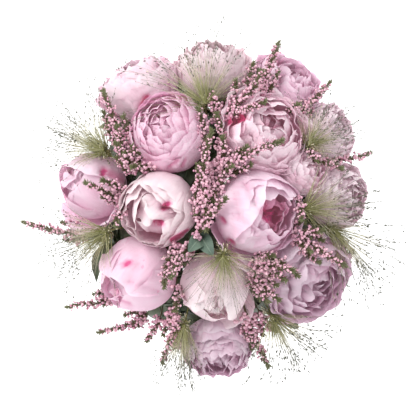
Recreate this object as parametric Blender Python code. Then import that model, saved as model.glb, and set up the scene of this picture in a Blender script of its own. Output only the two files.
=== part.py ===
"""A hand-tied bunch of peonies with heather and fountain grass, standing on its own cut stems.

The stems are laid in a spiral: all of them lean the same way round and cross at one tie, so that the
bunch is a waisted bundle that stands on the splayed, level-cut ends. Every stem follows one rule,
flow(), which turns and widens each level of the bundle as a whole, so that no two stems can cross.
"""

import math

import bmesh
import bpy
import numpy as np
from mathutils import Vector

MM = 0.001

# Driving dimensions, in metres
GAP = 0.0003  # clearance between pieces that touch
TIE_Z = 0.195  # height of the tie, where the stems cross
TIE_HEIGHT = 0.012
TIE_TURNS = 5  # windings of twine
TIE_THICKNESS = 0.0022
TWIST = 22.0  # turn of the spiral, radians of slope per metre
TWIST_REACH = 0.090  # height above the tie by which the stems stop turning
FLARE = 4.2  # how much wider than at the tie the spiral gets above it
FLARE_TOP = 0.170
LEAN_ROOM = 1.07  # a leaning stem's level section is this much longer than its diameter
FOCUS_Z = 0.212  # the middle of the dome: each bloom looks away from here
BLOOM_REACH = 0.195  # from the middle of the dome to a bloom's centre

PEONY_STEM = 0.0029  # radii
HEATHER_STEM = 0.0013
GRASS_STEM = 0.0011
SPRIG_STEM = 0.0014
RECEPTACLE = 0.0085  # the green swelling that carries a bloom
FLORET_WHORL = 0.0042  # radius of a heather spike over its bells
FLORET_STEP = 0.0045

# Blooms, in mm: where the centre lies in plan, how far it stands off the dome, the radius, the depth
# as a share of the radius, how far the cup has opened, and the lean of its face in plan.
BLOOMS = {
    "01": ((-82, 135), 0, 35, 0.82, 0.5, (0.0, 0.2)),
    "02": ((-46, 80), 2, 40, 0.92, 0.3, (-0.1, 0.05)),
    "03": ((0, 155), 0, 35, 0.82, 0.5, (0.0, 0.1)),
    "04": ((80, 135), 0, 33, 0.85, 0.8, (0.1, 0.1)),
    "05": ((54, 77), 0, 37, 0.75, 0.9, (0.1, 0.0)),
    "06": ((126, 84), 0, 30, 0.9, 0.3, (0.0, 0.0)),
    "07": ((136, 14), 0, 33, 0.85, 0.5, (-0.1, 0.0)),
    "08": ((46, -4), 3, 41, 0.9, 0.7, (0.25, 0.0)),
    "09": ((-57, 0), 2, 36.5, 0.95, 0.6, (0.0, -0.15)),
    "10": ((-134, 26), 0, 36, 0.9, 0.1, (0.0, 0.0)),
    "11": ((-83, -74), 0, 42, 0.9, 0.2, (-0.1, -0.1)),
    "12": ((2, -86), 0, 37, 0.9, 0.2, (0.0, 0.0)),
    "13": ((101, -74), 0, 42, 0.8, 0.9, (0.2, -0.15)),
    "14": ((6, -154), 0, 34, 0.85, 0.6, (0.0, -0.2)),
    "15": ((92, 37), -12, 18, 0.9, 0.7, (0.0, 0.0)),
}
BLOOM_SIDES = 20
PETALS_IN_A_ROW = 5
# The outline of a bloom from its base to its middle, as shares of the radius and the depth, and how
# far each point sinks as the cup opens.
BLOOM_OUTLINE = (
    (0.42, -0.88, 0.0),
    (0.78, -0.56, 0.0),
    (0.97, -0.12, 0.0),
    (1.00, 0.28, 0.0),
    (0.84, 0.68, 0.0),
    (0.56, 0.88, 0.22),
    (0.28, 0.86, 0.45),
)
BLOOM_BASE, BLOOM_HEART, HEART_SINK = -1.0, 0.82, 0.50
PETAL_STEP = 0.09  # how far one petal stands over the next, as a share of the radius

# Heather, in mm: where the stem comes out between the blooms, then one or two spikes. Each point is a
# place in plan and its reach from the middle of the dome.
HEATHER = {
    "01": (
        (-83, 42, 203),
        (((-102, 80, 219), (-112, 108, 228), (-121, 129, 236)), ((-91, 51, 226), (-104, 69, 235))),
    ),
    "02": ((-99, 9, 203), (((-110, 14, 224), (-122, 21, 238), (-136, 27, 243)),)),
    "03": ((-136, -29, 190), (((-165, -28, 212), (-190, -22, 224), (-216, -16, 238)),)),
    "04": ((-112, -100, 174), (((-132, -108, 196), (-150, -110, 206), (-168, -114, 218)),)),
    "05": ((-74, -121, 172), (((-92, -132, 186), (-112, -138, 198), (-132, -143, 210)),)),
    "06": ((-44, -110, 198), (((-44, -132, 208), (-50, -152, 216), (-56, -172, 224)),)),
    "07": ((36, -114, 198), (((45, -140, 206), (54, -160, 215), (62, -178, 224)),)),
    "08": ((50, -66, 203), (((62, -62, 232), (84, -66, 244)), ((54, -84, 226), (70, -98, 240)))),
    "09": (
        (85, -31, 203),
        (((98, -26, 222), (117, -24, 236)), ((106, -40, 224), (124, -52, 238), (142, -62, 242))),
    ),
    "10": ((122, 49, 196), (((140, 53, 206), (160, 57, 214), (178, 62, 221)),)),
    "11": ((92, 98, 203), (((104, 112, 214), (118, 126, 222), (131, 141, 231)),)),
    "12": ((49, 119, 206), (((56, 138, 224), (64, 160, 232), (73, 184, 240)),)),
    "13": ((22, 108, 205), (((23, 120, 220), (25, 137, 234)),)),
    "14": (
        (-2, 46, 205),
        (((24, 50, 228), (48, 62, 240), (73, 71, 246)), ((-7, 22, 220), (-8, -2, 224), (-8, -24, 224))),
    ),
    "15": ((-32, -41, 205), (((-37, -54, 220), (-45, -73, 230)),)),
}

# Grass, in mm: where the stalk comes out, the knot that its hairs spring from with its reach, then
# the direction and half-width of the fan in degrees, and the shortest and longest hair in plan.
GRASS = {
    "01": ((-8, 108, 205), (-8, 112, 224), 96, 56, 66, 104),
    "02": ((-112, 57, 203), (-119, 63, 222), 148, 40, 52, 88),
    "03": ((-111, -24, 200), (-116, -27, 216), 212, 40, 52, 84),
    "04": ((99, 64, 203), (103, 68, 222), 40, 44, 40, 66),
    "05": ((94, -2, 203), (98, -1, 222), 8, 38, 52, 84),
    "06": ((122, -19, 198), (127, -22, 216), -34, 30, 60, 104),
    "07": ((12, -43, 205), (10, -51, 235), -92, 52, 46, 72),
    "08": ((-30, -122, 196), (-31, -128, 212), -98, 22, 56, 84),
    "09": ((62, -113, 198), (64, -118, 212), -58, 34, 50, 84),
}
HAIRS = 7
HAIR_TIP_REACH = 0.258
HAIR_RADIUS = 0.0005

# Leaves that grow on the peony stems, in mm: the bloom whose stem carries it, how far below the bloom
# it leaves the stem, the points of its midrib in plan and height, and its half-width.
LEAVES = {
    "left": ("11", 44, ((-112, -40, 330), (-128, -56, 340), (-131, -84, 328)), 6),
    "right": ("13", 42, ((78, -104, 322), (86, -120, 314), (97, -139, 302)), 12),
    "front": ("14", 44, ((-24, -112, 292), (-44, -124, 286), (-66, -132, 274)), 11),
    "back": ("03", 44, ((34, 108, 292), (52, 128, 290), (66, 150, 280)), 11),
}
LEAF_THICKNESS = 0.0008

# The eucalyptus sprig, in mm: where it comes out, and the two leaves' midribs with their reach.
SPRIG = (
    (-12, -32, 205),
    (((-11, -33, 213), (-6, -41, 221), (0, -50, 228)), ((-17, -35, 220), (-26, -46, 230))),
)
SPRIG_LEAF = 7.5


def smooth(share):
    """An even rise from 0 to 1 with level ends."""
    share = min(1.0, max(0.0, share))
    return share * share * (3 - 2 * share)


def turn_and_spread(height):
    """How far the bundle has turned and widened at a height above the tie."""
    turned = height if height < 0 else TWIST_REACH * (1 - math.exp(-height / TWIST_REACH))
    return TWIST * turned, 1 + FLARE * smooth(height / FLARE_TOP)


def flow(slot, height):
    """Where the stem that crosses the tie at slot has got to, at a height above the tie."""
    turn, spread = turn_and_spread(height)
    x, y = slot
    return Vector((spread * (x - turn * y), spread * (y + turn * x), TIE_Z + height))


def slot_under(point):
    """The place in the tie whose stem would pass through a point."""
    turn, spread = turn_and_spread(point.z - TIE_Z)
    scale = spread * (1 + turn * turn)
    return ((point.x + turn * point.y) / scale, (point.y - turn * point.x) / scale)


def settle_slots(wanted, radii):
    """Moves the stems' places in the tie until they lie close together and none overlap."""
    places, radii = np.array(wanted), np.array(radii)
    apart = (radii[:, None] + radii[None]) * LEAN_ROOM + GAP
    np.fill_diagonal(apart, 0)
    for step in range(900):
        squeeze = 0.004 if step < 700 else 0.0
        places -= places * squeeze
        between = places[:, None] - places[None]
        distance = np.linalg.norm(between, axis=2) + 1e-9
        push = np.maximum(0, apart - distance) / distance
        places += 0.4 * (between * push[:, :, None]).sum(axis=1)
    return [tuple(place) for place in places]


def on_dome(x, y, reach):
    """The point above a place in the plan, in mm, at a reach from the middle of the dome."""
    rise = math.sqrt(max(0.0, reach * reach - x * x - y * y))
    return Vector((x * MM, y * MM, FOCUS_Z + rise * MM))


def under_dome(root):
    """The point where a spray's stem leaves the spiral, on the way out to its root."""
    return Vector((0, 0, FOCUS_Z)).lerp(root, 0.72)


def bloom_place(row):
    """A bloom's centre, the way it faces, its radius and its depth."""
    (x, y), off, radius, depth, _opening, lean = row
    centre = on_dome(x, y, BLOOM_REACH / MM + off)
    axis = (centre - Vector((0, 0, FOCUS_Z))).normalized() + Vector((lean[0], lean[1], 0))
    return centre, axis.normalized(), radius * MM, radius * depth * MM


def through(points, steps):
    """A smooth curve through points, with a number of steps between each two."""
    ends = [2 * points[0] - points[1], *points, 2 * points[-1] - points[-2]]
    curve = []
    for a, b, c, d in zip(ends, ends[1:], ends[2:], ends[3:]):
        for k in range(steps):
            t = k / steps
            square, cube = 2 * a - 5 * b + 4 * c - d, 3 * b - a - 3 * c + d
            curve.append(0.5 * (2 * b + (c - a) * t + square * t**2 + cube * t**3))
    return [*curve, points[-1]]


def stalk(slot, tops, steps):
    """A stem's line from its cut end, up the spiral, and on through the points it rises to."""
    rise = tops[0].z - TIE_Z
    miss = tops[0] - flow(slot, rise)
    below = [flow(slot, -TIE_Z * (1 - k / 3)) for k in range(3)]
    above = [flow(slot, rise * k / 5) + miss * (k / 5) ** 2.6 for k in range(5)]
    return below + above + through(tops, steps)


def tangents(path):
    """The direction of a line at each of its points."""
    ways = [b - a for a, b in zip(path, path[2:])]
    return [way.normalized() for way in (path[1] - path[0], *ways, path[-1] - path[-2])]


def start_face(bm, centre, normal, sides):
    """A small round face to grow a sweep from."""
    side = normal.orthogonal().normalized()
    other = normal.cross(side)
    verts = []
    for k in range(sides):
        a = 2 * math.pi * k / sides
        verts.append(bm.verts.new(centre + (side * math.cos(a) + other * math.sin(a)) * MM))
    return bm.faces.new(verts)


def sweep(bm, face, path, sizes, wide=None):
    """Draws a face out along a line. Each size is a radius, or a half-width and a half-thickness.

    Gives the side faces of each step, and the face at the end."""
    verts = list(face.verts)
    centre = face.calc_center_median()
    face.normal_update()
    way = face.normal.copy()
    spokes = [(v.co - centre).normalized() for v in verts]
    bm.faces.remove(face)
    rows = []
    for point, ahead, size in zip(path, tangents(path), sizes):
        rotation = way.rotation_difference(ahead)
        spokes = [rotation @ spoke for spoke in spokes]
        way = ahead
        width, thickness = size if isinstance(size, tuple) else (size, size)
        across = (wide - ahead * wide.dot(ahead)).normalized() if wide else way.orthogonal().normalized()
        through_it = ahead.cross(across)
        ring = []
        for spoke in spokes:
            shift = across * spoke.dot(across) * width + through_it * spoke.dot(through_it) * thickness
            ring.append(bm.verts.new(point + shift))
        row = []
        for k, v in enumerate(verts):
            after = (k + 1) % len(verts)
            row.append(bm.faces.new((v, verts[after], ring[after], ring[k])))
        rows.append(row)
        verts = ring
    return rows, bm.faces.new(verts)


def grow_stalk(bm, path, sizes, sides):
    """A closed stem whose first ring is cut level with the floor."""
    ways = tangents(path)
    first = start_face(bm, path[0], ways[0], sides)
    for v in first.verts:
        spoke = (v.co - path[0]).normalized() * sizes[0]
        v.co = path[0] + spoke - ways[0] * (spoke.z / ways[0].z)
    floor = [v.co.copy() for v in first.verts]
    rows, end = sweep(bm, first, path[1:], sizes[1:])
    foot = [v for co in floor for v in bm.verts if (v.co - co).length < 1e-7]
    bm.faces.new(list(reversed(foot)))
    return rows, end


def facing(faces, way):
    """The face that looks most nearly one way."""
    for face in faces:
        face.normal_update()
    return max(faces, key=lambda face: face.normal.dot(way))


def finish(bm, name, material):
    """Makes a closed mesh into a named object."""
    bmesh.ops.recalc_face_normals(bm, faces=bm.faces)
    bmesh.ops.triangulate(bm, faces=[f for f in bm.faces if len(f.verts) > 4])
    mesh = bpy.data.meshes.new(name)
    bm.to_mesh(mesh)
    bm.free()
    mesh.shade_smooth()
    mesh.materials.append(material)
    part = bpy.data.objects.new(name, mesh)
    bpy.context.collection.objects.link(part)
    return part


def material(name, colour, roughness):
    """A plain finish."""
    finish_of = bpy.data.materials.new(name)
    finish_of.use_nodes = True
    shader = finish_of.node_tree.nodes["Principled BSDF"]
    shader.inputs["Base Color"].default_value = (*colour, 1)
    shader.inputs["Roughness"].default_value = roughness
    shader.inputs["Metallic"].default_value = 0
    return finish_of


def make_bloom(number, row, finish_of):
    """A double bloom: a lobed bowl of guard petals that closes over a sunken heart."""
    centre, axis, radius, depth = bloom_place(row)
    opening = row[4]
    side = axis.orthogonal().normalized()
    other = axis.cross(side)
    bm = bmesh.new()
    rings = []
    for level, (out, up, sink) in enumerate(BLOOM_OUTLINE):
        ring = []
        for k in range(BLOOM_SIDES):
            a = 2 * math.pi * k / BLOOM_SIDES
            petal_share = (PETALS_IN_A_ROW * k / BLOOM_SIDES + 0.5 * (level % 2) + 0.3 * int(number)) % 1
            lobe = 1 + PETAL_STEP * (petal_share - 0.5)
            lift = (0.03 + 0.07 * opening) * math.sin(math.pi * petal_share)
            spoke = side * math.cos(a) + other * math.sin(a)
            height = depth * (up - sink * opening + lift * out)
            ring.append(bm.verts.new(centre + spoke * radius * out * lobe + axis * height))
        rings.append(ring)
    base = bm.verts.new(centre + axis * depth * BLOOM_BASE)
    heart = bm.verts.new(centre + axis * depth * (BLOOM_HEART - HEART_SINK * opening))
    for k in range(BLOOM_SIDES):
        after = (k + 1) % BLOOM_SIDES
        bm.faces.new((base, rings[0][after], rings[0][k]))
        bm.faces.new((heart, rings[-1][k], rings[-1][after]))
        for low, high in zip(rings, rings[1:]):
            bm.faces.new((low[k], low[after], high[after], high[k]))
    return finish(bm, f"peony_{number}_bloom", finish_of)


def bloom_tops(row):
    """The points that a peony's stem rises to: its neck, and the foot of its bloom."""
    centre, axis, _radius, depth = bloom_place(row)
    foot = centre + axis * (depth * BLOOM_BASE - GAP)
    return [foot - axis * 0.040, foot - axis * 0.020, foot]


def make_peony_stem(number, row, slot, finish_of):
    """A stem that swells under its bloom into the receptacle."""
    path = stalk(slot, bloom_tops(row), 2)
    axis = (path[-1] - path[-2]).normalized()
    path = path[:-1] + [path[-1] - axis * 0.006, path[-1] - axis * 0.002, path[-1]]
    radius = PEONY_STEM * (0.75 if row[2] < 25 else 1.0)
    swell = RECEPTACLE * (0.7 if row[2] < 25 else 1.0)
    sizes = [radius] * (len(path) - 3) + [swell * 0.62, swell, swell * 0.7]
    bm = bmesh.new()
    grow_stalk(bm, path, sizes, 6)
    return finish(bm, f"peony_{number}_stem", finish_of)


def spike_sizes(path):
    """Radii along a heather spike: each second point is a whorl of bells."""
    sizes = []
    for k in range(len(path)):
        taper = 1 - 0.45 * k / (len(path) - 1)
        sizes.append(FLORET_WHORL * taper if k % 2 else HEATHER_STEM)
    sizes[-1] = HEATHER_STEM * 0.7
    return sizes


def respace(path, step):
    """The same line with its points an even step apart."""
    along = np.cumsum([0.0] + [(b - a).length for a, b in zip(path, path[1:])])
    count = max(2, round(along[-1] / step) + 1)
    places = np.linspace(0, along[-1], count)
    columns = [np.interp(places, along, [p[k] for p in path]) for k in range(3)]
    return [Vector(point) for point in zip(*columns)]


def make_heather(number, row, slot, finish_of):
    """A thin stem that carries one spike of small bells at its end, or two."""
    place, spikes = row
    root = on_dome(*place)
    lines = [respace(through([root, *[on_dome(*p) for p in spike]], 6), FLORET_STEP) for spike in spikes]
    stem = stalk(slot, [under_dome(root), root], 2)
    bm = bmesh.new()
    path = stem + lines[0][1:]
    sizes = [HEATHER_STEM] * len(stem) + spike_sizes(lines[0])[1:]
    rows, _end = grow_stalk(bm, path, sizes, 5)
    for line in lines[1:]:
        way = (line[1] - line[0]).normalized()
        bud = facing(rows[len(stem) - 3], way)
        sweep(bm, bud, line[1:], spike_sizes(line)[1:])
    return finish(bm, f"heather_{number}", finish_of)


def make_grass(number, row, slot, finish_of):
    """A stalk whose head is a fan of long hairs."""
    place, knot, facing_way, half, short, long = row
    root = on_dome(*place)
    hub = on_dome(*knot)
    stem = stalk(slot, [under_dome(root), root], 2)
    head = [root.lerp(hub, share) for share in (0.45, 0.62, 0.78, 0.9, 1.0)]
    bm = bmesh.new()
    path = stem + head
    rows, end = grow_stalk(bm, path, [GRASS_STEM] * len(path), 5)
    buds = [face for faces in rows[-4:] for face in faces] + [end]
    for k in range(HAIRS):
        share = k / (HAIRS - 1)
        angle = math.radians(facing_way + half * (2 * share - 1))
        length = short + (long - short) * (0.5 + 0.5 * math.cos(2.2 * k + int(number)))
        across, along = length * math.cos(angle), length * math.sin(angle)
        tip = on_dome(knot[0] + across, knot[1] + along, HAIR_TIP_REACH / MM)
        bud = facing(buds, (tip - hub).normalized() + Vector((0, 0, 0.3)))
        buds.remove(bud)
        start = bud.calc_center_median()
        rise = [knot[2] + (HAIR_TIP_REACH / MM - knot[2]) * math.sin(s * math.pi / 2) for s in (0.35, 0.7)]
        line = []
        for s, reach in zip((0.35, 0.7), rise):
            spot = start.lerp(tip, s)
            line.append(on_dome(spot.x / MM, spot.y / MM, reach))
        line.append(tip)
        sweep(bm, bud, [start.lerp(line[0], 0.2), *line], [HAIR_RADIUS * f for f in (1.2, 1.0, 0.8, 0.5)])
    return finish(bm, f"grass_{number}", finish_of)


def leaf_sizes(count, half_width):
    """Half-widths and half-thicknesses of a pointed leaf."""
    sizes = []
    for k in range(count):
        share = (k + 1) / count
        width = half_width * math.sin(math.pi * min(0.97, share**0.8)) + 0.0007
        sizes.append((width, LEAF_THICKNESS if k < count - 1 else LEAF_THICKNESS * 0.6))
    return sizes


def make_leaf(name, row, slots, finish_of):
    """A peony leaf on its stalk, which springs from a peony's stem."""
    number, below, ribs, half_width = row
    stem = stalk(slots[f"peony_{number}"], bloom_tops(BLOOMS[number]), 6)
    fine = respace(stem, 0.002)
    spot = fine[-1 - round(below / 2)]
    way = tangents(fine)[-1 - round(below / 2)]
    points = [Vector(p) * MM for p in ribs]
    out = points[0] - spot
    out = (out - way * out.dot(way)).normalized()
    start = spot + out * (PEONY_STEM + GAP)
    petiole = start + out * 0.004
    line = through([petiole, *points], 3)[1:]
    bm = bmesh.new()
    first = start_face(bm, start, out, 4)
    root = [v.co.copy() for v in first.verts]
    wide = (points[-1] - points[0]).cross(Vector((0, 0, 1))).normalized()
    stalk_rows = 3
    sizes = [(0.0011, 0.0011)] * (stalk_rows + 1) + leaf_sizes(len(line) - stalk_rows, half_width * MM)
    sweep(bm, first, [petiole, *line], sizes, wide)
    bm.faces.new([v for co in reversed(root) for v in bm.verts if (v.co - co).length < 1e-7])
    return finish(bm, f"peony_leaf_{name}", finish_of)


def make_sprig(slot, finish_of):
    """A eucalyptus sprig with two rounded leaves that lie among the blooms."""
    place, leaves = SPRIG
    root = on_dome(*place)
    stem = stalk(slot, [under_dome(root), root], 3)
    bm = bmesh.new()
    lines = [through([root, *[on_dome(*p) for p in leaf]], 3)[1:] for leaf in leaves]
    rows, end = grow_stalk(bm, stem, [SPRIG_STEM] * len(stem), 5)
    up = Vector((0, 0, 1))
    for bud, line in zip((end, facing(rows[-2], lines[1][0] - root)), lines):
        wide = (line[-1] - line[0]).cross(up).normalized()
        sweep(bm, bud, line, leaf_sizes(len(line), SPRIG_LEAF * MM), wide)
    return finish(bm, "eucalyptus_sprig", finish_of)


def make_tie(slots, radii, finish_of):
    """Twine wound round the waist of the bundle, as one ribbed ring."""
    waist = max(math.hypot(*slot) + radius for slot, radius in zip(slots, radii))
    inner = waist * 1.03 + GAP
    low = TIE_Z - TIE_HEIGHT / 2
    pitch = TIE_HEIGHT / TIE_TURNS
    profile = [(inner, TIE_Z + TIE_HEIGHT / 2), (inner, low)]
    for k in range(TIE_TURNS):
        profile.append((inner + TIE_THICKNESS * 0.6, low + pitch * k))
        profile.append((inner + TIE_THICKNESS, low + pitch * (k + 0.5)))
    profile.append((inner + TIE_THICKNESS * 0.6, TIE_Z + TIE_HEIGHT / 2))
    bm = bmesh.new()
    verts = [bm.verts.new((r, 0, z)) for r, z in profile]
    edges = [bm.edges.new((a, b)) for a, b in zip(verts, verts[1:] + verts[:1])]
    bmesh.ops.spin(
        bm, geom=verts + edges, axis=(0, 0, 1), cent=(0, 0, 0), angle=2 * math.pi, steps=24, use_merge=True
    )
    return finish(bm, "twine_tie", finish_of)


def main():
    for old in list(bpy.data.objects):
        bpy.data.objects.remove(old, do_unlink=True)

    petal = material("petal", (0.82, 0.52, 0.62), 0.55)
    stem_green = material("stem_green", (0.20, 0.30, 0.10), 0.5)
    bells = material("heather_bells", (0.72, 0.38, 0.48), 0.6)
    hair = material("grass_hair", (0.36, 0.40, 0.22), 0.6)
    leaf_green = material("leaf_green", (0.08, 0.16, 0.06), 0.45)
    grey_green = material("eucalyptus_green", (0.26, 0.36, 0.30), 0.55)
    twine = material("twine", (0.55, 0.42, 0.26), 0.85)

    wanted = {f"peony_{n}": (bloom_tops(row)[0], PEONY_STEM) for n, row in BLOOMS.items()}
    wanted["peony_15"] = (wanted["peony_15"][0], PEONY_STEM * 0.75)
    sprays = (
        ("heather", HEATHER, HEATHER_STEM),
        ("grass", GRASS, GRASS_STEM),
        ("sprig", {"01": SPRIG}, SPRIG_STEM),
    )
    for kind, rows, radius in sprays:
        for n, row in rows.items():
            wanted[f"{kind}_{n}"] = (under_dome(on_dome(*row[0])), radius)
    radii = [radius for _point, radius in wanted.values()]
    places = settle_slots([slot_under(point) for point, _radius in wanted.values()], radii)
    slots = dict(zip(wanted, places))

    parts = [make_tie(places, radii, twine), make_sprig(slots["sprig_01"], grey_green)]
    for n, row in BLOOMS.items():
        parts.append(make_bloom(n, row, petal))
        parts.append(make_peony_stem(n, row, slots[f"peony_{n}"], stem_green))
    for n, row in HEATHER.items():
        parts.append(make_heather(n, row, slots[f"heather_{n}"], bells))
    for n, row in GRASS.items():
        parts.append(make_grass(n, row, slots[f"grass_{n}"], hair))
    for name, row in LEAVES.items():
        parts.append(make_leaf(name, row, slots, leaf_green))

    corners = np.array([v.co[:] for part in parts for v in part.data.vertices])
    middle = (corners.min(axis=0) + corners.max(axis=0)) / 2
    for part in parts:
        part.location = (-middle[0], -middle[1], 0)


if __name__ == "__main__":
    main()
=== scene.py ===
import math
from collections import namedtuple

import bpy
import numpy as np
from bpy.props import FloatProperty, FloatVectorProperty, IntProperty, PointerProperty
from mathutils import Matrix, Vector


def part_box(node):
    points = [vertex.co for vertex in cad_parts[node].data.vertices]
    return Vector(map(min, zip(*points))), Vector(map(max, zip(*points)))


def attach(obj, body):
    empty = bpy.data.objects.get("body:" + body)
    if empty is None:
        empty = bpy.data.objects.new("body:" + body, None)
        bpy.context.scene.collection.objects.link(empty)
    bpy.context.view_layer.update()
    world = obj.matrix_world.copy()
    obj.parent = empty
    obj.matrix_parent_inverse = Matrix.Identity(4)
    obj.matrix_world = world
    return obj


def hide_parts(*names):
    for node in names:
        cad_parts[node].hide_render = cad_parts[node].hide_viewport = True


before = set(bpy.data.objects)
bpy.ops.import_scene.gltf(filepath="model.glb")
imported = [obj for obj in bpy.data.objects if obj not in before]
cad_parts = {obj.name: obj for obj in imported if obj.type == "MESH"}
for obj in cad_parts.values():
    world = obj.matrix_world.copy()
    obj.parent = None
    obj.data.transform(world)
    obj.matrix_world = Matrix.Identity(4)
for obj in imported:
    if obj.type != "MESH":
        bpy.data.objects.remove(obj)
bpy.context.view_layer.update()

bl_info = {
    "name": "Hand-tied bunch of peonies",
    "version": (1, 0, 0),
    "blender": (4, 5, 0),
    "location": "3D View > Sidebar > Peonies",
    "description": "Double peonies with heather, fountain grass and eucalyptus, tied with twine",
    "category": "Add Mesh",
}

MM = 0.001
BODY = "root"
X_AXIS = Vector((1, 0, 0))
UP = np.array((0.0, 0.0, 1.0))

# The bundle, in metres: the same rule and the same tables as the frame's own stems follow.
GAP = 0.0003  # between neighbours
TIE_Z = 0.195  # height of the tie
TWIST, TWIST_REACH = 22.0, 0.090  # how fast the stems turn about the middle, and how soon that eases off
FLARE, FLARE_TOP = 4.2, 0.170  # how much the bundle widens above the tie, and over what height
LEAN_ROOM = 1.07  # a leaning stem takes up more of the tie than an upright one
SETTLE_STEPS, SQUEEZE_STEPS = 900, 700  # all the steps, and the first of them, which also draw the stems in
SQUEEZE, PUSH = 0.004, 0.4  # share of the way that one step moves a stem: inwards, off its neighbour
FOCUS_Z = 0.212  # height of the dome's middle
BLOOM_REACH = 0.195  # from there to the centre of a bloom
PEONY_STEM, HEATHER_STEM, GRASS_STEM, SPRIG_STEM = 0.0029, 0.0013, 0.0011, 0.0014
RECEPTACLE = 0.0085
NECK = 0.020  # between the points of a stem under its bloom
SMALL_BLOOM = 25  # mm; a bloom under this radius has a thinner stem and receptacle
SMALL_STEM, SMALL_RECEPTACLE = 0.75, 0.7
STEM_STEP = 0.002  # between the points of a peony stem
BRANCH_AT = 0.72  # share of the way out where a spray's stem branches off the spiral
BELOW_TIE, ABOVE_TIE = 3, 5  # points of a stem below the tie and above it
EASE = 2.6  # how late a stem turns off the spiral towards its bloom

# The first seed of each kind of piece, to which a number of the piece's own is added.
SEEDS = {
    "leaf": 0,
    "sprig": 5,
    "stem": 40,
    "heather": 80,
    "grass": 160,
    "spray": 500,
    "bloom": 700,
    "gap": 900,
}

# Blooms, in mm: centre in plan, how far it stands off the dome, radius, depth share, opening, lean.
BLOOMS = {
    "01": ((-82, 135), 0, 35, 0.82, 0.5, (0.0, 0.2)),
    "02": ((-46, 80), 2, 40, 0.92, 0.3, (-0.1, 0.05)),
    "03": ((0, 155), 0, 35, 0.82, 0.5, (0.0, 0.1)),
    "04": ((80, 135), 0, 33, 0.85, 0.8, (0.1, 0.1)),
    "05": ((54, 77), 0, 37, 0.75, 0.9, (0.1, 0.0)),
    "06": ((126, 84), 0, 30, 0.9, 0.3, (0.0, 0.0)),
    "07": ((136, 14), 0, 33, 0.85, 0.5, (-0.1, 0.0)),
    "08": ((46, -4), 3, 41, 0.9, 0.7, (0.25, 0.0)),
    "09": ((-57, 0), 2, 36.5, 0.95, 0.6, (0.0, -0.15)),
    "10": ((-134, 26), 0, 36, 0.9, 0.1, (0.0, 0.0)),
    "11": ((-83, -74), 0, 42, 0.9, 0.2, (-0.1, -0.1)),
    "12": ((2, -86), 0, 37, 0.9, 0.2, (0.0, 0.0)),
    "13": ((101, -74), 0, 42, 0.8, 0.9, (0.2, -0.15)),
    "14": ((6, -154), 0, 34, 0.85, 0.6, (0.0, -0.2)),
    "15": ((92, 37), -12, 18, 0.9, 0.7, (0.0, 0.0)),
}

# Heather, in mm: the root's place in plan and reach, then one or two spikes of such points.
HEATHER = {
    "01": (
        (-83, 42, 203),
        (((-102, 80, 219), (-112, 108, 228), (-121, 129, 236)), ((-91, 51, 226), (-104, 69, 235))),
    ),
    "02": ((-99, 9, 203), (((-110, 14, 224), (-122, 21, 238), (-136, 27, 243)),)),
    "03": ((-136, -29, 190), (((-165, -28, 212), (-190, -22, 224), (-216, -16, 238)),)),
    "04": ((-112, -100, 174), (((-132, -108, 196), (-150, -110, 206), (-168, -114, 218)),)),
    "05": ((-74, -121, 172), (((-92, -132, 186), (-112, -138, 198), (-132, -143, 210)),)),
    "06": ((-44, -110, 198), (((-44, -132, 208), (-50, -152, 216), (-56, -172, 224)),)),
    "07": ((36, -114, 198), (((45, -140, 206), (54, -160, 215), (62, -178, 224)),)),
    "08": ((50, -66, 203), (((62, -62, 232), (84, -66, 244)), ((54, -84, 226), (70, -98, 240)))),
    "09": (
        (85, -31, 203),
        (((98, -26, 222), (117, -24, 236)), ((106, -40, 224), (124, -52, 238), (142, -62, 242))),
    ),
    "10": ((122, 49, 196), (((140, 53, 206), (160, 57, 214), (178, 62, 221)),)),
    "11": ((92, 98, 203), (((104, 112, 214), (118, 126, 222), (131, 141, 231)),)),
    "12": ((49, 119, 206), (((56, 138, 224), (64, 160, 232), (73, 184, 240)),)),
    "13": ((22, 108, 205), (((23, 120, 220), (25, 137, 234)),)),
    "14": (
        (-2, 46, 205),
        (((24, 50, 228), (48, 62, 240), (73, 71, 246)), ((-7, 22, 220), (-8, -2, 224), (-8, -24, 224))),
    ),
    "15": ((-32, -41, 205), (((-37, -54, 220), (-45, -73, 230)),)),
}

# How bushy each heather is, from 0 to 1, and how bushy the side shoots are.
BUSHY = {
    "01": 0.90, "02": 0.70, "03": 0.50, "04": 0.45, "05": 0.45, "06": 0.80, "07": 0.80, "08": 1.00,
    "09": 0.80, "10": 0.35, "11": 0.50, "12": 0.75, "13": 0.80, "14": 0.85, "15": 0.90,
}  # fmt: skip
SHOOT_BUSHY = 0.8

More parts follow.
